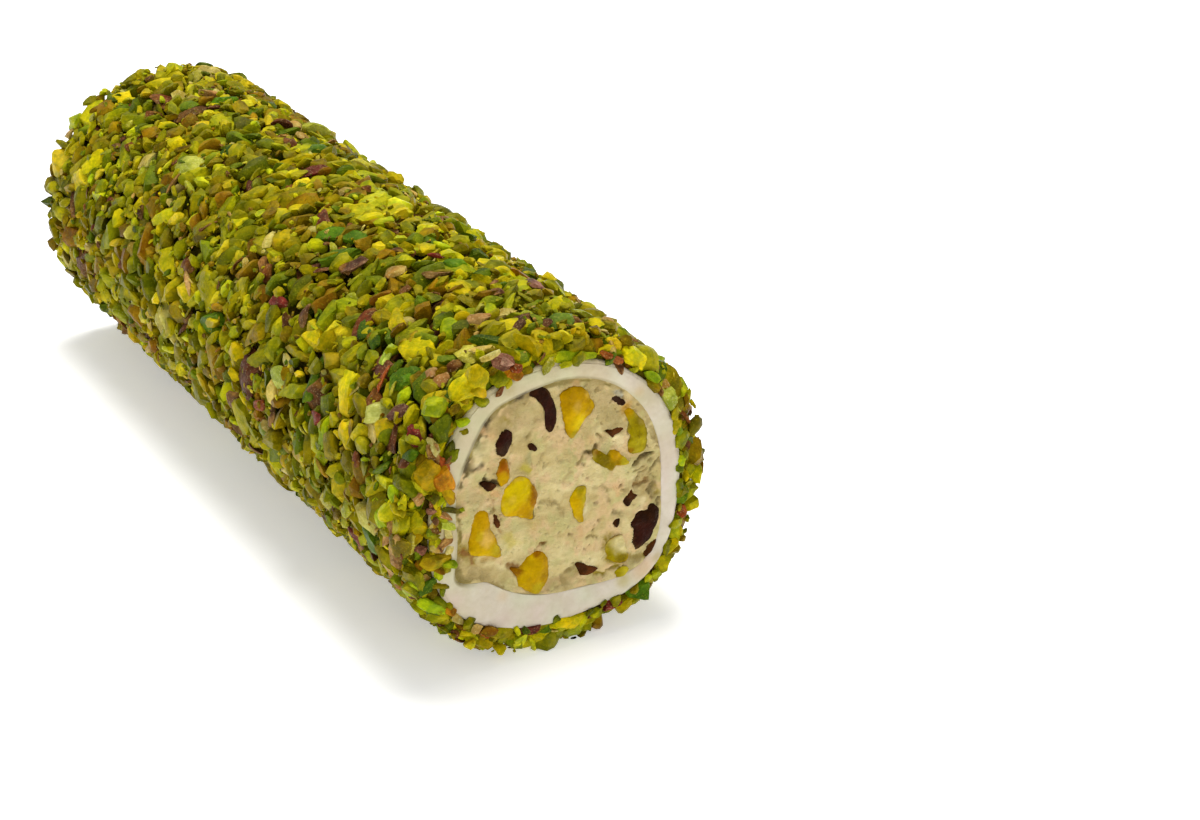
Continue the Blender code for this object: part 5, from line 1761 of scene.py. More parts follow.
EDGE_FEATURES = rows_of(
    EdgeFeature,
    (-13.1, 18.3, 3.9, 3.3, 10, Look.HONEY, 1), (-11.5, 19.5, 3.4, 3, 60, Look.HONEY, 1.2),
    (-11.6, 18, 2.6, 2, -10, Look.HONEY, 1.3), (-8, 20.7, 3.8, 2.2, -24, Look.PURPLE, 0.6),
    # The pale pink piece on this line, laid over the purple one, is a painted highlight.
    (-7.4, 20.8, 2.2, 1.2, -34, Look.PINK_HIGHLIGHT, 1.1), (-6.1, 19.7, 1.8, 1.2, -20, Look.RED_TAN, 0.9),
    (-9.6, 22, 3, 0.9, 12, Look.CREAM, 0.7), (-7.8, 18.4, 3.2, 2.6, 5, Look.OLIVE, 0.3),
    (-6.1, 18.9, 2.8, 1.8, -30, Look.ORANGE, 0.4), (-4.2, 19.4, 2.6, 1.7, 19, Look.BRIGHT, 0.1),
    (-16.7, 16.4, 3.8, 3, -30, Look.LIME, 0.3), (-15.7, 13.2, 4.4, 3.2, -76, Look.LEAF, 0.5),
    (-15.3, 10.6, 2.6, 1.5, -84, Look.DARK, 0.4), (-13.4, 13.9, 1.9, 1.1, 0, Look.LIME, 0.5),
    (-17.4, 11.6, 2.9, 1.2, -70, Look.CREAM, 0.3), (-17.3, 10, 4.4, 1.7, -80, Look.TAN, 0.3),
    (-16.2, 8.6, 3.4, 1.5, -74, Look.RED_TAN, 0.5), (-17.9, 7.4, 4.8, 3.6, -50, Look.GOLD, 0.9),
    (-16.4, 6.7, 4.8, 2.6, -66, Look.ORANGE, 1.2), (-15.8, 4.7, 3, 1.5, -62, Look.GOLD, 0.9),
    (-19.4, 4.8, 2, 1.8, 11, Look.PINK, 0.1), (-17.5, 4.4, 2.2, 1.7, -60, Look.DARK, 0.6),
    (-15.4, 2.5, 3.8, 0.8, -24, Look.DARK, 0.7), (-14, 2.1, 1, 0.6, -10, Look.LIME, 0.5),
    (-16.3, 1.8, 2.4, 1.3, -28, Look.PINK, 0.5), (-16.1, 0.5, 2.6, 1.2, -18, Look.PALE_GREEN, 0.6),
    (-15.9, -0.7, 2, 1.5, -60, Look.CREAM, 0.5), (-16.4, -1.9, 2.6, 1.4, 12, Look.TAN, 0.5),
    (-15.9, -3.2, 1.8, 1.2, 60, Look.CREAM, 0.4), (-17.4, -6.2, 2.2, 1.3, -70, Look.LIME, 0.4),
    (-16.7, 1.5, 2.9, 1.2, -24, Look.OLIVE, 0.4), (-17.9, 2.8, 1.6, 1.1, -15, Look.PURPLE, 0.3),
    (-18, -0.6, 2.3, 1.7, -15, Look.OLIVE, 0.3), (-17.4, -2.2, 2.2, 1.1, 12, Look.CREAM, 0.3),
    (-17.7, 0.6, 2.2, 1.4, 40, Look.CREAM, 0.1), (-17.7, -4.4, 4.4, 3, -12, Look.GOLD, 0.8),
    (-15.9, -5, 2, 1.2, -10, Look.LIME, 0.9), (-19.6, -2.4, 1.8, 1.4, -10, Look.PURPLE, 0.2),
    (-18.7, -7.8, 3, 1.8, 30, Look.DEEP_GREEN, 0.2), (-18.1, -10.8, 4.7, 1.7, -32, Look.LIME, 0.3),
    (-15.9, -11.9, 1.8, 1.2, -37, Look.ORANGE, 0.4), (-14.6, -13.8, 2.8, 1.2, -50, Look.CREAM, 0.1),
    (-13, -15.2, 2.6, 1.6, -44, Look.OLIVE, 0), (-10.9, -16.8, 1.7, 1, -42, Look.RED_TAN, 0.2),
    (-8.4, -17.2, 4.1, 2, -24, Look.OLIVE, 0.2), (-4.6, -18.3, 3.6, 1.5, -5, Look.MAROON, 0.1),
    (-1.8, -18.9, 2.4, 1.4, 0, Look.GREEN, 0), (1.6, -18.9, 5.5, 2.5, -7, Look.BRIGHT, 0.4),
    (5.6, -18.6, 2, 1.4, -2, Look.OLIVE, 0.2), (8.2, -17.9, 2.8, 1.8, 5, Look.MAROON, 0.3),
    (12.2, -17.3, 3.8, 3.1, -1, Look.GREEN, 0.5), (14.9, -15.3, 1.6, 1.3, 15, Look.LIME, 0.2),
    (17.5, -11.8, 2.4, 2.1, 62, Look.BRIGHT, 0.2), (18.5, -4.3, 3.2, 2.2, 68, Look.GREEN, 0.2),
    (19, -7, 1.8, 1.4, 59, Look.RED_TAN, 0.1), (18.6, 0.6, 2, 1.3, 71, Look.LIME, 0.1),
    (18.4, 4, 4.2, 1.3, -77, Look.LIME, 0), (16.8, 10, 4, 2.1, -62, Look.PALE_GREEN, 0.3),
    (14, 13.8, 2.9, 1.4, -47, Look.LIME, 0.2), (11.4, 16.9, 4.4, 2.5, -43, Look.BRIGHT, 0.4),
    (7.9, 17.8, 3.8, 1.1, -34, Look.RED_TAN, 0.3), (2.7, 18.9, 6.6, 1.7, -11, Look.LIME, 0.1),
    (-1, 19.4, 3.4, 1.5, 4, Look.OLIVE, 0),
)


@dataclass
class ChipMaker:
    """Breaks nut pieces: balls cut by flat breaks, with some of the round side left."""

    ROUND = 1.06
    SQUARE = ((1, 0, 0), (-1, 0, 0), (0, 1, 0), (0, -1, 0), (0, 0, 1), (0, 0, -1))
    OUTER_BREAK = 4
    LOOSE_BREAKS = 3
    LEAST_FACING = 0.05
    NEVER = 9.0
    EDGE_REACH = 1.12

    sides: Array
    faces: Array

    @staticmethod
    def with_detail(subdivisions: int) -> "ChipMaker":
        """A maker whose balls have this many subdivisions.

        Args:
            subdivisions: Blender's count for its ico sphere.

        Returns:
            The maker.
        """
        bm = bmesh.new()
        bmesh.ops.create_icosphere(bm, subdivisions=subdivisions, radius=1.0)
        sides = np.array([vert.co[:] for vert in bm.verts])
        faces = np.array([[vert.index for vert in face.verts] for face in bm.faces])
        bm.free()
        return ChipMaker(sides, faces)

    def broken(self, count: int, draw: np.random.Generator) -> tuple[Array, Array]:
        """Breaks some pieces.

        Args:
            count: How many.
            draw: The seeded numbers.

        Returns:
            The pieces' points in a box from -1 to 1, and how much of the rind each point shows.
        """
        boxed = len(self.SQUARE)
        total = boxed + self.LOOSE_BREAKS
        extra = draw.normal(size=(count, self.LOOSE_BREAKS, 3))
        cuts = np.concatenate([np.broadcast_to(self.SQUARE, (count, boxed, 3)), extra], axis=1)
        tilts = draw.normal(scale=0.42, size=cuts.shape)
        cuts = cuts + tilts * (np.arange(total) < boxed)[None, :, None]
        cuts /= np.linalg.norm(cuts, axis=2, keepdims=True)
        depth = draw.uniform(0.44, 0.9, (count, total))
        depth[:, boxed:] = draw.uniform(0.48, 0.92, (count, self.LOOSE_BREAKS))
        facing = np.einsum("nd,kcd->knc", self.sides, cuts)
        reach = depth[:, None, :] / np.maximum(facing, self.LEAST_FACING)
        reach = np.where(facing > self.LEAST_FACING, reach, self.NEVER)
        order = np.argsort(reach, axis=2)[:, :, :2]
        near, next_near = np.take_along_axis(reach, order, axis=2).transpose(2, 0, 1)
        points = self.sides[None] * np.minimum(near, self.ROUND)[:, :, None]
        which, where = np.nonzero((next_near < self.EDGE_REACH * near) & (next_near < self.ROUND))
        spot = points[which, where]
        one, two = (cuts[which, order[which, where, k]] for k in (0, 1))
        miss_one, miss_two = (
            depth[which, order[which, where, k]] - np.einsum("ij,ij->i", cut, spot)
            for k, cut in ((0, one), (1, two))
        )
        lean = np.einsum("ij,ij->i", one, two)
        spread = np.maximum(1.0 - lean * lean, 0.15)
        first = (miss_one - lean * miss_two) / spread
        second = (miss_two - lean * miss_one) / spread
        points[which, where] = spot + first[:, None] * one + second[:, None] * two
        points += draw.normal(scale=0.015, size=points.shape)
        low, high = points.min(axis=1, keepdims=True), points.max(axis=1, keepdims=True)
        points = (points - (low + high) / 2.0) / ((high - low) / 2.0)
        return points, ((near > self.ROUND) | (order[:, :, 0] == self.OUTER_BREAK)).astype(float)


@dataclass
class Chip:
    """One chopped piece, ready to be laid: its own points, its colours and its size."""

    points: Array
    rind: Array
    shade: Shade
    size: Array
    detail: int
    tone: float


class HeightMap:
    """How high the coat has grown, over a sheet that is unrolled from the roll."""

    CELL = 0.35
    MIDDLE = 21.5
    MARGIN = 1.5
    BED_DROP = -0.5
    STEP_DOWN = 0.06

    def __init__(self, form: RollForm, noise: ValueNoise) -> None:
        """Starts from the coat's bed.

        Args:
            form: The roll's sizes.
            noise: The bed's unevenness.
        """
        self.start = form.face_y + self.MARGIN
        self.columns = int(TURN * self.MIDDLE / self.CELL)
        self.rows = int(2.0 * self.start / self.CELL)
        angle = (np.arange(self.columns) + 0.5) / self.columns * TURN
        y = (np.arange(self.rows) + 0.5) * self.CELL - form.face_y - self.MARGIN
        angle, y = (part.ravel() for part in np.meshgrid(angle, y, indexing="ij"))
        shape = (self.columns, self.rows)
        self.level = form.core_reach(angle, y, self.BED_DROP).reshape(shape)
        self.slope = np.gradient(self.level, self.CELL, axis=1)
        lumps = noise.at(columns(angle * self.MIDDLE, y, 0.0), 2.2)
        self.level = self.level + 0.35 * lumps.reshape(shape)

    def cells(self, angle: Array | float, y: Array | float) -> tuple[Array, Array]:
        """The columns and the rows of the cells at directions in radians and places along the roll."""
        row = np.floor((y + self.start) / self.CELL).astype(int).clip(0, self.rows - 1)
        return np.floor(angle / TURN * self.columns).astype(int) % self.columns, row

    def lean(self, angle: float, y: float) -> float:
        """How far the bed leans along the roll at a place, in radians."""
        return math.atan(self.slope[self.cells(angle, y)])

    def rest(self, points: Array, angle: Array, y: Array, sink: float) -> Array:
        """The radius at which a chip comes to rest.

        Args:
            points: The chip's points as it lies: round the roll, along it and outwards.
            angle: The direction of each place to try.
            y: Each place along the roll.
            sink: The share of the chip's underside that may sink in.

        Returns:
            The radius of the chip's middle at each place.
        """
        x, along, up = points[points[:, 2] < 0.0].T
        column, row = self.cells(angle[:, None] - x / self.MIDDLE, y[:, None] + along)
        lift = up + x**2 / (2.0 * self.MIDDLE)
        return np.quantile(self.level[column, row] - lift[None], 1.0 - sink, axis=1)

    def pile(self, points: Array, angle: float, y: float, radius: float) -> None:
        """Raises the map where a chip now lies.

        Args:
            points: The chip's points as it lies.
            angle: Its direction in radians.
            y: Its place along the roll.
            radius: The radius of its middle.
        """
        x, along, up = points[points[:, 2] >= 0.0].T
        column, row = self.cells(angle - x / self.MIDDLE, y + along)
        top = radius + up + x**2 / (2.0 * self.MIDDLE)
        for right, on in itertools.product((-1, 0, 1), repeat=2):
            near = (column + right) % self.columns
            beside = np.clip(row + on, 0, self.rows - 1)
            lower = self.STEP_DOWN * (abs(right) + abs(on))
            np.maximum.at(self.level, (near, beside), top - lower)


@dataclass
class PistachioCoat:
    """The chopped coat: a bed, chips of every kind laid one on another, and crumbs."""

    form: RollForm
    seed: int = 5
    under_count: int = 1700
    over_count: int = 2750
    edge_count: int = 190
    lap_count: int = 44
    left_lap: Span = (152.0, 199.0)
    left_lap_count: int = 30
    crumb_count: int = 3800
    tries: int = 7
    crumb_tries: int = 3
    median_length: float = 3.1
    length_spread: float = 0.38
    shortest: float = 1.4
    longest: float = 7.0
    edge_lengths: Span = (1.7, 3.6)
    lap_lengths: Span = (1.1, 2.9)
    crumb_lengths: Span = (0.4, 1.2)
    detailed_from: float = 4.6
    plain_below: float = 2.2
    turn_spread: float = 0.8
    tip_spread: float = 0.34
    crest_margin: float = 0.4
    floor_gap: float = 0.02
    bed_around: int = 220
    bed_along: int = 130
    bed_drop: float = -0.6
    brightness: float = 0.79
    # Dark tones of the bed that shows between the chips: ground nut hues, darkened as painted shade of the
    # gaps.
    bed_shade_tones: tuple[Colour, ...] = ((78, 72, 8), (48, 34, 6), (72, 36, 14))

    def __post_init__(self) -> None:
        """Prepares the makers, the seeded numbers and the height map."""
        self.draw = np.random.default_rng(self.seed)
        self.noise = ValueNoise(self.seed + 1)
        self.makers = {detail: ChipMaker.with_detail(detail) for detail in (1, 2, 3)}
        self.map = HeightMap(self.form, self.noise)
        self.laid: dict[Kind, list[Skin]] = {kind: [] for kind in Kind}

    def _batch(self, lengths: Array, detail: int, kinds: list[Kind]) -> list[Chip]:
        """Breaks a batch of chips.

        Args:
            lengths: Each chip's length.
            detail: The subdivisions of their balls.
            kinds: Each chip's kind.

        Returns:
            The chips.
        """
        broken = self.makers[detail].broken(len(lengths), self.draw)
        chips = []
        for unit, rind, length, kind in zip(*broken, lengths, kinds):
            about = CHIP_KINDS[kind]
            width = length * self.draw.uniform(*about.slimness)
            thick = width * self.draw.uniform(*about.flatness)
            shade = about.shades[self.draw.integers(len(about.shades))]
            bend = about.bend * self.draw.uniform(0.3, 1.0) * length
            chips.append(self._chip(unit, rind, shade, (length, width, thick), bend, detail))
        return chips

    def _chip(
        self, unit: Array, rind: Array, shade: Shade, size: Triple, bend: float, detail: int
    ) -> Chip:
        """Sizes one broken piece.

        Args:
            unit: Its points in a box from -1 to 1.
            rind: How much of the rind each point shows.
            shade: Its colours.
            size: Its length, width and thickness.
            bend: How far its ends curl down.
            detail: The subdivisions of its ball.

        Returns:
            The chip.
        """
        points = unit * np.array(size) / 2.0
        points[:, 2] -= bend * unit[:, 0] ** 2 * 0.5
        points[:, 2] -= points[:, 2].mean()
        tone = float(np.clip(self.draw.normal(self.brightness, 0.1), 0.45, 1.1))
        return Chip(points, rind, shade, np.array(size), detail, tone)

    def _dressed(self, chip: Chip, placed: Array) -> Skin:
        """Tints a chip that has been laid.

        Args:
            chip: The chip.
            placed: Its points about the roll's axis.

        Returns:
            The chip's skin with its values.
        """
        grain = chip.points + self.draw.uniform(-60.0, 60.0, 3)
        flesh, rind = chip.shade
        lean = self.draw.normal(size=3)
        lean /= np.linalg.norm(lean)
        along = (chip.points / chip.size * 2.0) @ lean
        share = 0.7 * chip.rind + 0.55 * smooth_step(along, -0.3, 1.0)
        share = np.clip(share + self.draw.normal(0.0, 0.07, len(share)), 0.0, 1.0)
        hue = 1.0 + self.draw.normal(0.0, 0.05, 3)
        tint = np.clip(paint(linear(flesh), rind, share) * chip.tone * hue, 0.0, 1.0)
        return Skin(placed, self.makers[chip.detail].faces, {"tint": tint, "grain": grain})

    @staticmethod
    def _turned(points: Array, turn: float, tip: Span) -> Array:
        """Turns a chip in its plane and tips it about its two flat axes, in radians."""
        lean = Matrix.Rotation(tip[0], 3, "X") @ Matrix.Rotation(tip[1], 3, "Y")
        return points @ np.array(lean @ Matrix.Rotation(turn, 3, "Z")).T

    def _above_floor(self, points: Array) -> Array:
        """The points with none of them under the floor."""
        points[:, 2] = np.maximum(points[:, 2], self.form.floor_z + self.floor_gap)
        return points

    def _wrap(self, points: Array, angle: float, y: float, radius: float) -> Array:
        """Moves a chip from the flat to its place on the roll.

        Args:
            points: Its points: round the roll, along it and outwards.
            angle: Its direction in radians.
            y: Its place along the roll.
            radius: The radius of its middle.

        Returns:
            The points about the roll's axis.
        """
        out = np.array([math.cos(angle), 0.0, math.sin(angle)])
        back = np.array([math.sin(angle), 0.0, -math.cos(angle)])
        along = np.array([0.0, 1.0, 0.0])
        placed = points[:, :1] * back + points[:, 1:2] * along + (points[:, 2:] + radius) * out
        placed[:, 1] += y
        return self._above_floor(placed)

    def _lay(self, chip: Chip, kind: Kind, sink: float) -> None:
        """Drops a chip in the lowest of a few places.

        Args:
            chip: The chip.
            kind: Its kind.
            sink: The share of its underside that may sink in.
        """
        turn = self.draw.normal(0.0, self.turn_spread)
        angles = self.draw.uniform(0.0, TURN, self.tries)
        places = self.draw.uniform(-1.0, 1.0, self.tries) * (self.form.face_y - 0.9)
        tip = self.draw.normal(0.0, self.tip_spread, 2)
        chunky = chip.size[2] > 0.5 * chip.size[1]
        roll = self.draw.uniform(0.0, TURN) if chunky else self.draw.normal(0.0, 0.3)
        points = chip.points @ np.array(Matrix.Rotation(roll, 3, "X")).T
        points = self._turned(points, turn, tip)
        radius = self.map.rest(points, angles, places, sink)
        best = int(np.argmin(radius + points[:, 2].max()))
        angle, y = float(angles[best]), float(places[best])
        points = self._turned(points, 0.0, (self.map.lean(angle, y), 0.0))
        margin = self.crest_margin + self.draw.normal(0.0, 0.32)
        rests = min(float(radius[best]), self.form.crest + margin - points[:, 2].max())
        limit = self.form.face_y + 0.3 - np.abs(points[:, 1]).max()
        y = float(np.clip(y, -limit, limit))
        self.map.pile(points, angle, y, rests)
        self.laid[kind].append(self._dressed(chip, self._wrap(points, angle, y, rests)))

    def _kinds(self, count: int) -> list[Kind]:
        """Draws some kinds by their shares."""
        shares = np.array([CHIP_KINDS[kind].share for kind in Kind])
        return list(self.draw.choice(list(Kind), count, p=shares / shares.sum()))

    def _scatter(self, count: int, sink: float, hidden: bool) -> None:
        """Lays one layer of chips all over the roll, the larger ones first.

        Args:
            count: How many.
            sink: The share of each chip's underside that may sink in.
            hidden: Whether another layer covers most of them.
        """
        lengths = self.median_length * np.exp(self.draw.normal(0.0, self.length_spread, count))
        lengths = np.sort(np.clip(lengths, self.shortest, self.longest))[::-1]
        kinds = self._kinds(count)
        split = int((lengths > (self.plain_below if hidden else self.detailed_from)).sum())
        large, small = (2, 1) if hidden else (3, 2)
        chips = self._batch(lengths[:split], large, kinds[:split])
        chips += self._batch(lengths[split:], small, kinds[split:])
        for index in np.argsort(-lengths + self.draw.normal(0.0, 0.8, count)):
            self._lay(chips[index], kinds[index], sink)

    def _lay_features(self) -> None:
        """Lays the noticeable pieces where they belong."""
        for feature in COAT_FEATURES:
            thick = feature.width * self.draw.uniform(0.55, 0.8)
            if feature.look.kind is Kind.SKIN:
                thick = feature.width * 0.35
            unit, rind = self.makers[3].broken(1, self.draw)
            size = (feature.length, feature.width, thick)
            bend = 0.03 * feature.length
            chip = self._chip(unit[0], rind[0], feature.look.shade, size, bend, 3)
            angle, y = math.radians(feature.angle), feature.y
            tip = self.draw.normal(0.0, 0.14, 2)
            points = self._turned(chip.points, -math.radians(feature.turn), tip)
            points = self._turned(points, 0.0, (self.map.lean(angle, y), 0.0))
            rests = self.map.rest(points, np.array([angle]), np.array([y]), 0.5)[0]
            rests = min(float(rests), self.form.crest + 0.35 - points[:, 2].max())
            self.map.pile(points, angle, y, rests)
            placed = self._wrap(points, angle, y, rests)
            self.laid[feature.look.kind].append(self._dressed(chip, placed))

    def _stand(self, points: Array, side: int, x: float, z: float, forward: float) -> Array:
        """Stands a chip against the cut end."""
        y = side * (self.form.face_y + forward + points[:, 2])
        return self._above_floor(columns(x - side * points[:, 0], y, z + points[:, 1]))

    def _edge_chips(self, side: int) -> None:
        """Fills the coat's end, round the white layer's edge, in an inner and an outer row.

        Args:
            side: -1 for the front end, 1 for the back.
        """
        count = self.edge_count
        lengths = self.draw.uniform(*self.edge_lengths, count)
        kinds = self._kinds(count)
        for index, (chip, kind) in enumerate(zip(self._batch(lengths, 2, kinds), kinds)):
            angle = TURN * (index + self.draw.uniform(-0.4, 0.4)) / count * 2.0
            direction = np.array([angle])
            bore = float(self.form.bore(direction)[0])
            outer = float(self.form.core_reach(direction, np.array([self.form.face_y]), 0.6)[0])
            share = self.draw.uniform(*((0.3, 0.65) if index < count // 2 else (0.7, 1.0)))
            radius = bore + (outer - bore) * share
            turn = angle + math.pi / 2.0 + self.draw.normal(0.0, 0.6)
            points = self._turned(chip.points, -side * turn, self.draw.normal(0.0, 0.35, 2))
            forward = -0.35 - 0.9 * share - self.draw.uniform(0.0, 0.5)
            x, z = radius * math.cos(angle), radius * math.sin(angle)
            placed = self._stand(points, side, x, z, forward)
            self.laid[kind].append(self._dressed(chip, placed))

    def _lap_chips(self, side: int, angles: Span, inward: Span, count: int) -> None:
        """Lets small chips lap over the white layer's edge.

        Args:
            side: -1 for the front end, 1 for the back.
            angles: The first and the last direction, in degrees.
            inward: How far in from the coat's bore their middles lie.
            count: How many chips.
        """
        kinds = self._kinds(count)
        chips = self._batch(self.draw.uniform(*self.lap_lengths, count), 2, kinds)
        for index, (chip, kind) in enumerate(zip(chips, kinds)):
            share = (index + self.draw.uniform(0.0, 1.0)) / count
            angle = math.radians(angles[0] + (angles[1] - angles[0]) * share)
            radius = float(self.form.bore(np.array([angle]))[0]) - self.draw.uniform(*inward)
            turn = angle + math.pi / 2.0 + self.draw.normal(0.0, 0.5)
            points = self._turned(chip.points, -side * turn, self.draw.normal(0.0, 0.25, 2))
            forward = 0.35 - chip.size[2] / 2.0 + self.draw.uniform(-0.1, 0.25)
            x, z = radius * math.cos(angle), radius * math.sin(angle)
            placed = self._stand(points, side, x, z, forward)
            self.laid[kind].append(self._dressed(chip, placed))

    def _edge_features(self) -> None:
        """Stands the noticeable pieces against the front cut's edge."""
        for feature in EDGE_FEATURES:
            thick = min(feature.width * 0.75, 2.6)
            unit, rind = self.makers[3].broken(1, self.draw)
            size = (feature.length, feature.width, thick)
            chip = self._chip(unit[0], rind[0], feature.look.shade, size, 0.0, 3)
            tip = self.draw.normal(0.0, 0.12, 2)
            points = self._turned(chip.points, math.radians(feature.turn), tip)
            forward = feature.forward - thick / 2.0 + 0.1
            placed = self._stand(points, -1, feature.x, feature.z, forward)
            self.laid[feature.look.kind].append(self._dressed(chip, placed))

    def _crumbs(self) -> Skin:
        """The crumbs that lie between the chips.

        Returns:
            One skin of all of them.
        """
        lengths = self.draw.uniform(*self.crumb_lengths, self.crumb_count)
        made = []
        for chip in self._batch(lengths, 1, self._kinds(self.crumb_count)):
            angle = self.draw.uniform(0.0, TURN, self.crumb_tries)
            y = self.draw.uniform(-1.0, 1.0, self.crumb_tries) * (self.form.face_y - 0.6)
            turn = self.draw.uniform(0.0, TURN)
            points = self._turned(chip.points, turn, self.draw.normal(0.0, 0.4, 2))
            level = self.map.level[self.map.cells(angle, y)]
            best = int(np.argmin(level))
            radius = min(float(level[best]) + 0.1, self.form.crest - 0.1)
            placed = self._wrap(points, float(angle[best]), float(y[best]), radius)
            made.append(self._dressed(chip, placed))
        return Skin.joined(made)

    def _bed(self) -> Skin:
        """The ground nut that everything else is pressed into, darkened as painted shade of the gaps
        between the chips.

        Returns:
            A closed tube round the white layer.
        """
        angle = TURN * np.arange(self.bed_around) / self.bed_around
        end = self.form.face_y - 0.7
        rings = []
        for y in np.linspace(-end, end, self.bed_along):
            reach = self.form.core_reach(angle, np.full(self.bed_around, y), self.bed_drop)
            ring = columns(reach * np.cos(angle), y, reach * np.sin(angle))
            lump = 0.4 * self.noise.at(ring, 2.4) + 0.22 * self.noise.at(ring + 30.0, 1.1)
            ring *= (1.0 + lump / reach)[:, None] * [1, 0, 1] + [0, 1, 0]
            rings.append(self._above_floor(ring))
        bore = self.form.white.ring(angle, grow=0.2)
        rings += [columns(bore[:, 0], y, bore[:, 1]) for y in (end, -end)]
        skin = loft(rings, closes=True).facing_out()
        pick = self.noise.at(skin.points + 11.0, 1.6) + 0.5 * self.noise.at(skin.points, 0.7)
        # Dark tones between the chips: the ground nut's own hues, made darker as painted shade of the
        # gaps.
        green, brown, red = self.bed_shade_tones
        tint = paint(linear(brown), green, smooth_step(pick, -0.5, 0.3))
        patch = smooth_step(self.noise.at(skin.points + 70.0, 1.9), 0.2, 0.6)
        skin.values = {"tint": paint(tint, red, patch), "grain": skin.points.copy()}
        return skin

    def build(self, place: Vector, effects: Effects) -> list[Piece]:
        """Makes the whole coat.

        Args:
            place: The roll's axis in metres.
            effects: The shared effects.

        Returns:
            The coat's objects.
        """
        self._scatter(self.under_count, 0.45, True)
        self._scatter(self.over_count, 0.32, False)
        self._lay_features()
        for side in (-1, 1):
            self._edge_chips(side)
            self._lap_chips(side, (0.0, 360.0), (-0.5, 0.5), self.lap_count)
        self._lap_chips(-1, self.left_lap, (0.2, 1.9), self.left_lap_count)
        self._edge_features()
        made = [self._bed().piece("pistachio_bed", place, NUT_BED.material(effects), 40.0)]
        materials: dict[str, Material] = {}
        for kind, skins in self.laid.items():
            finish = CHIP_KINDS[kind].finish
            if finish.name not in materials:
                materials[finish.name] = finish.material(effects)
            skin, material = Skin.joined(skins), materials[finish.name]
            made.append(skin.piece(f"pistachio_{kind.value}", place, material, 32.0))
        crumbs = self._crumbs()
        made.append(crumbs.piece("pistachio_crumbs", place, materials[NUT_FLESH.name], 32.0))
        for piece in made:
            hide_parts("pistachio_coat")
        return made


@dataclass(frozen=True)
class Panel:
    """A square soft light: its place in metres, its side and its power in watts."""

    name: str
    spot: Triple
    side: float
    power: float


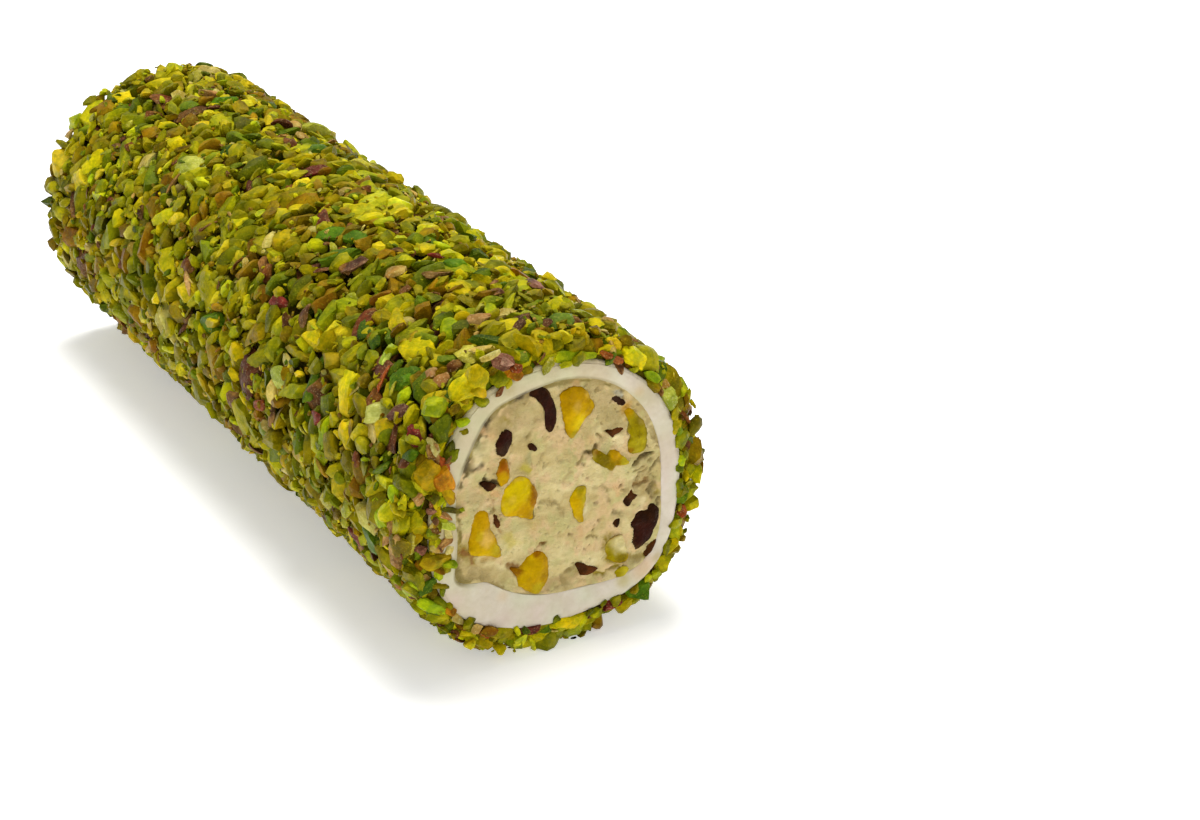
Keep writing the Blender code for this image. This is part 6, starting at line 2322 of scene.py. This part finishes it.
@dataclass
class Studio:
    """A pale floor, soft light from all round and above, and the camera."""

    form: RollForm
    place: Vector
    azimuth: float = -30.48
    elevation: float = 25.03
    camera_spot: Triple = (-134.457, -238.891, 140.348)
    lens: float = 72.39
    floor_radius: float = 3.0
    floor_sides: int = 96
    floor_colour: Colour = (250, 250, 249)
    floor_glow: float = 0.36
    dome: float = 0.42
    panels: tuple[Panel, ...] = (
        Panel("overhead_panel", (0.12, 0.15, 0.95), 0.45, 9.8),
        Panel("front_panel", (-0.15, -1.0, 0.45), 0.6, 2.2),
    )

    def _floor(self) -> None:
        """Lays the floor as a wide disc of rings."""
        bm = bmesh.new()
        rings = []
        for reach in (0.2, 0.45, 0.9, 1.6, self.floor_radius):
            turns = [TURN * k / self.floor_sides for k in range(self.floor_sides)]
            spots = [(reach * math.cos(turn), reach * math.sin(turn), 0.0) for turn in turns]
            rings.append([bm.verts.new(spot) for spot in spots])
        bm.faces.new(rings[0])
        for inner, outer in zip(rings, rings[1:]):
            for k in range(self.floor_sides):
                after = (k + 1) % self.floor_sides
                bm.faces.new((inner[k], inner[after], outer[after], outer[k]))
        bmesh.ops.recalc_face_normals(bm, faces=bm.faces)
        mesh = bpy.data.meshes.new("studio_floor")
        bm.to_mesh(mesh)
        bm.free()
        floor = bpy.data.objects.new("studio_floor", mesh)
        bpy.context.scene.collection.objects.link(floor)
        mesh.materials.append(self._floor_material())

    def _floor_material(self) -> Material:
        """A pale matt board with the faintest unevenness, lit a little from below.

        Returns:
            The material.
        """
        made = bpy.data.materials.new("pale_board")
        made.use_nodes = True
        canvas = Canvas(made.node_tree)
        where = canvas.node("ShaderNodeTexCoord").outputs["Object"]
        cloud = canvas.node("ShaderNodeTexNoise", Vector=where, Scale=3.0, Detail=2.0)
        tone = linear(self.floor_colour)
        deep, share = tone * 0.99, cloud.outputs["Fac"]
        inputs = {
            "Base Color": canvas.colours("MIX", share, (*tone, 1.0), (*deep, 1.0)),
            "Roughness": 0.9,
            "Specular IOR Level": 0.1,
            "Emission Color": (1.0, 1.0, 1.0, 1.0),
            "Emission Strength": self.floor_glow,
        }
        for name, value in inputs.items():
            canvas.feed(made.node_tree.nodes["Principled BSDF"].inputs[name], value)
        return made

    def _light(self) -> None:
        """Soft light: an even dome and a few large panels, all aimed at the roll."""
        scene = bpy.context.scene
        world = bpy.data.worlds.new("studio_air")
        world.use_nodes = True
        air = world.node_tree.nodes["Background"]
        air.inputs["Color"].default_value = (1.0, 1.0, 1.0, 1.0)
        air.inputs["Strength"].default_value = self.dome
        scene.world = world
        for panel in self.panels:
            light = bpy.data.lights.new(panel.name, "AREA")
            light.size = panel.side
            light.energy = panel.power
            lamp = bpy.data.objects.new(panel.name, light)
            lamp.location = panel.spot
            aim = Vector((0.0, 0.0, 0.02)) - lamp.location
            lamp.rotation_euler = aim.to_track_quat("-Z", "Y").to_euler()
            scene.collection.objects.link(lamp)
        scene.view_settings.view_transform = "Standard"

    def _camera(self) -> None:
        """Sets the camera where the roll is seen from."""
        azimuth, elevation = math.radians(self.azimuth), math.radians(self.elevation)
        right = Vector((math.cos(azimuth), math.sin(azimuth), 0.0))
        back = Vector(
            (
                math.sin(azimuth) * math.cos(elevation),
                -math.cos(azimuth) * math.cos(elevation),
                math.sin(elevation),
            )
        )
        up = back.cross(right)
        made = bpy.data.cameras.new("studio_camera")
        made.sensor_width = 36.0
        made.sensor_fit = "HORIZONTAL"
        made.lens = self.lens
        made.clip_start = 0.01
        camera = bpy.data.objects.new("studio_camera", made)
        cut_centre = self.place - Vector((0.0, self.form.face_y * MM, 0.0))
        spot = cut_centre + Vector(self.camera_spot) * MM
        camera.matrix_world = Matrix.Translation(spot) @ Matrix((right, up, back)).transposed().to_4x4()
        bpy.context.scene.collection.objects.link(camera)
        bpy.context.scene.camera = camera

    def build(self) -> None:
        """Sets up the floor, the light and the camera."""
        self._camera()
        self._floor()
        self._light()


def report(pieces: list[Piece]) -> None:
    """Lets every piece ride with the roll, and logs it.

    Args:
        pieces: The pieces of one sub-assembly.
    """
    for piece in pieces:
        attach(piece, "root")
        log.info("%s: %d triangles", piece.name, len(piece.data.polygons))


def main() -> None:
    """Builds the roll from the inside out and sets up the studio."""
    logging.basicConfig(level=logging.INFO, format="%(name)s %(message)s")
    form = RollForm()
    place = form.place()
    effects = Effects()
    Studio(form, place).build()
    ends = tuple(CutPieces(form, end) for end in CUT_ENDS)
    report([Filling(form, ends).build(place, effects)])
    for pieces in ends:
        report(pieces.build(place, effects))
    report([WhiteLayer(form).build(place, effects)])
    report(PistachioCoat(form).build(place, effects))


def corners(box: tuple[Vector, Vector]) -> list[list[float]]:
    """A box's two corners as plain lists of numbers."""
    return [[float(number) for number in corner] for corner in box]


if __name__ == "__main__":
    main()
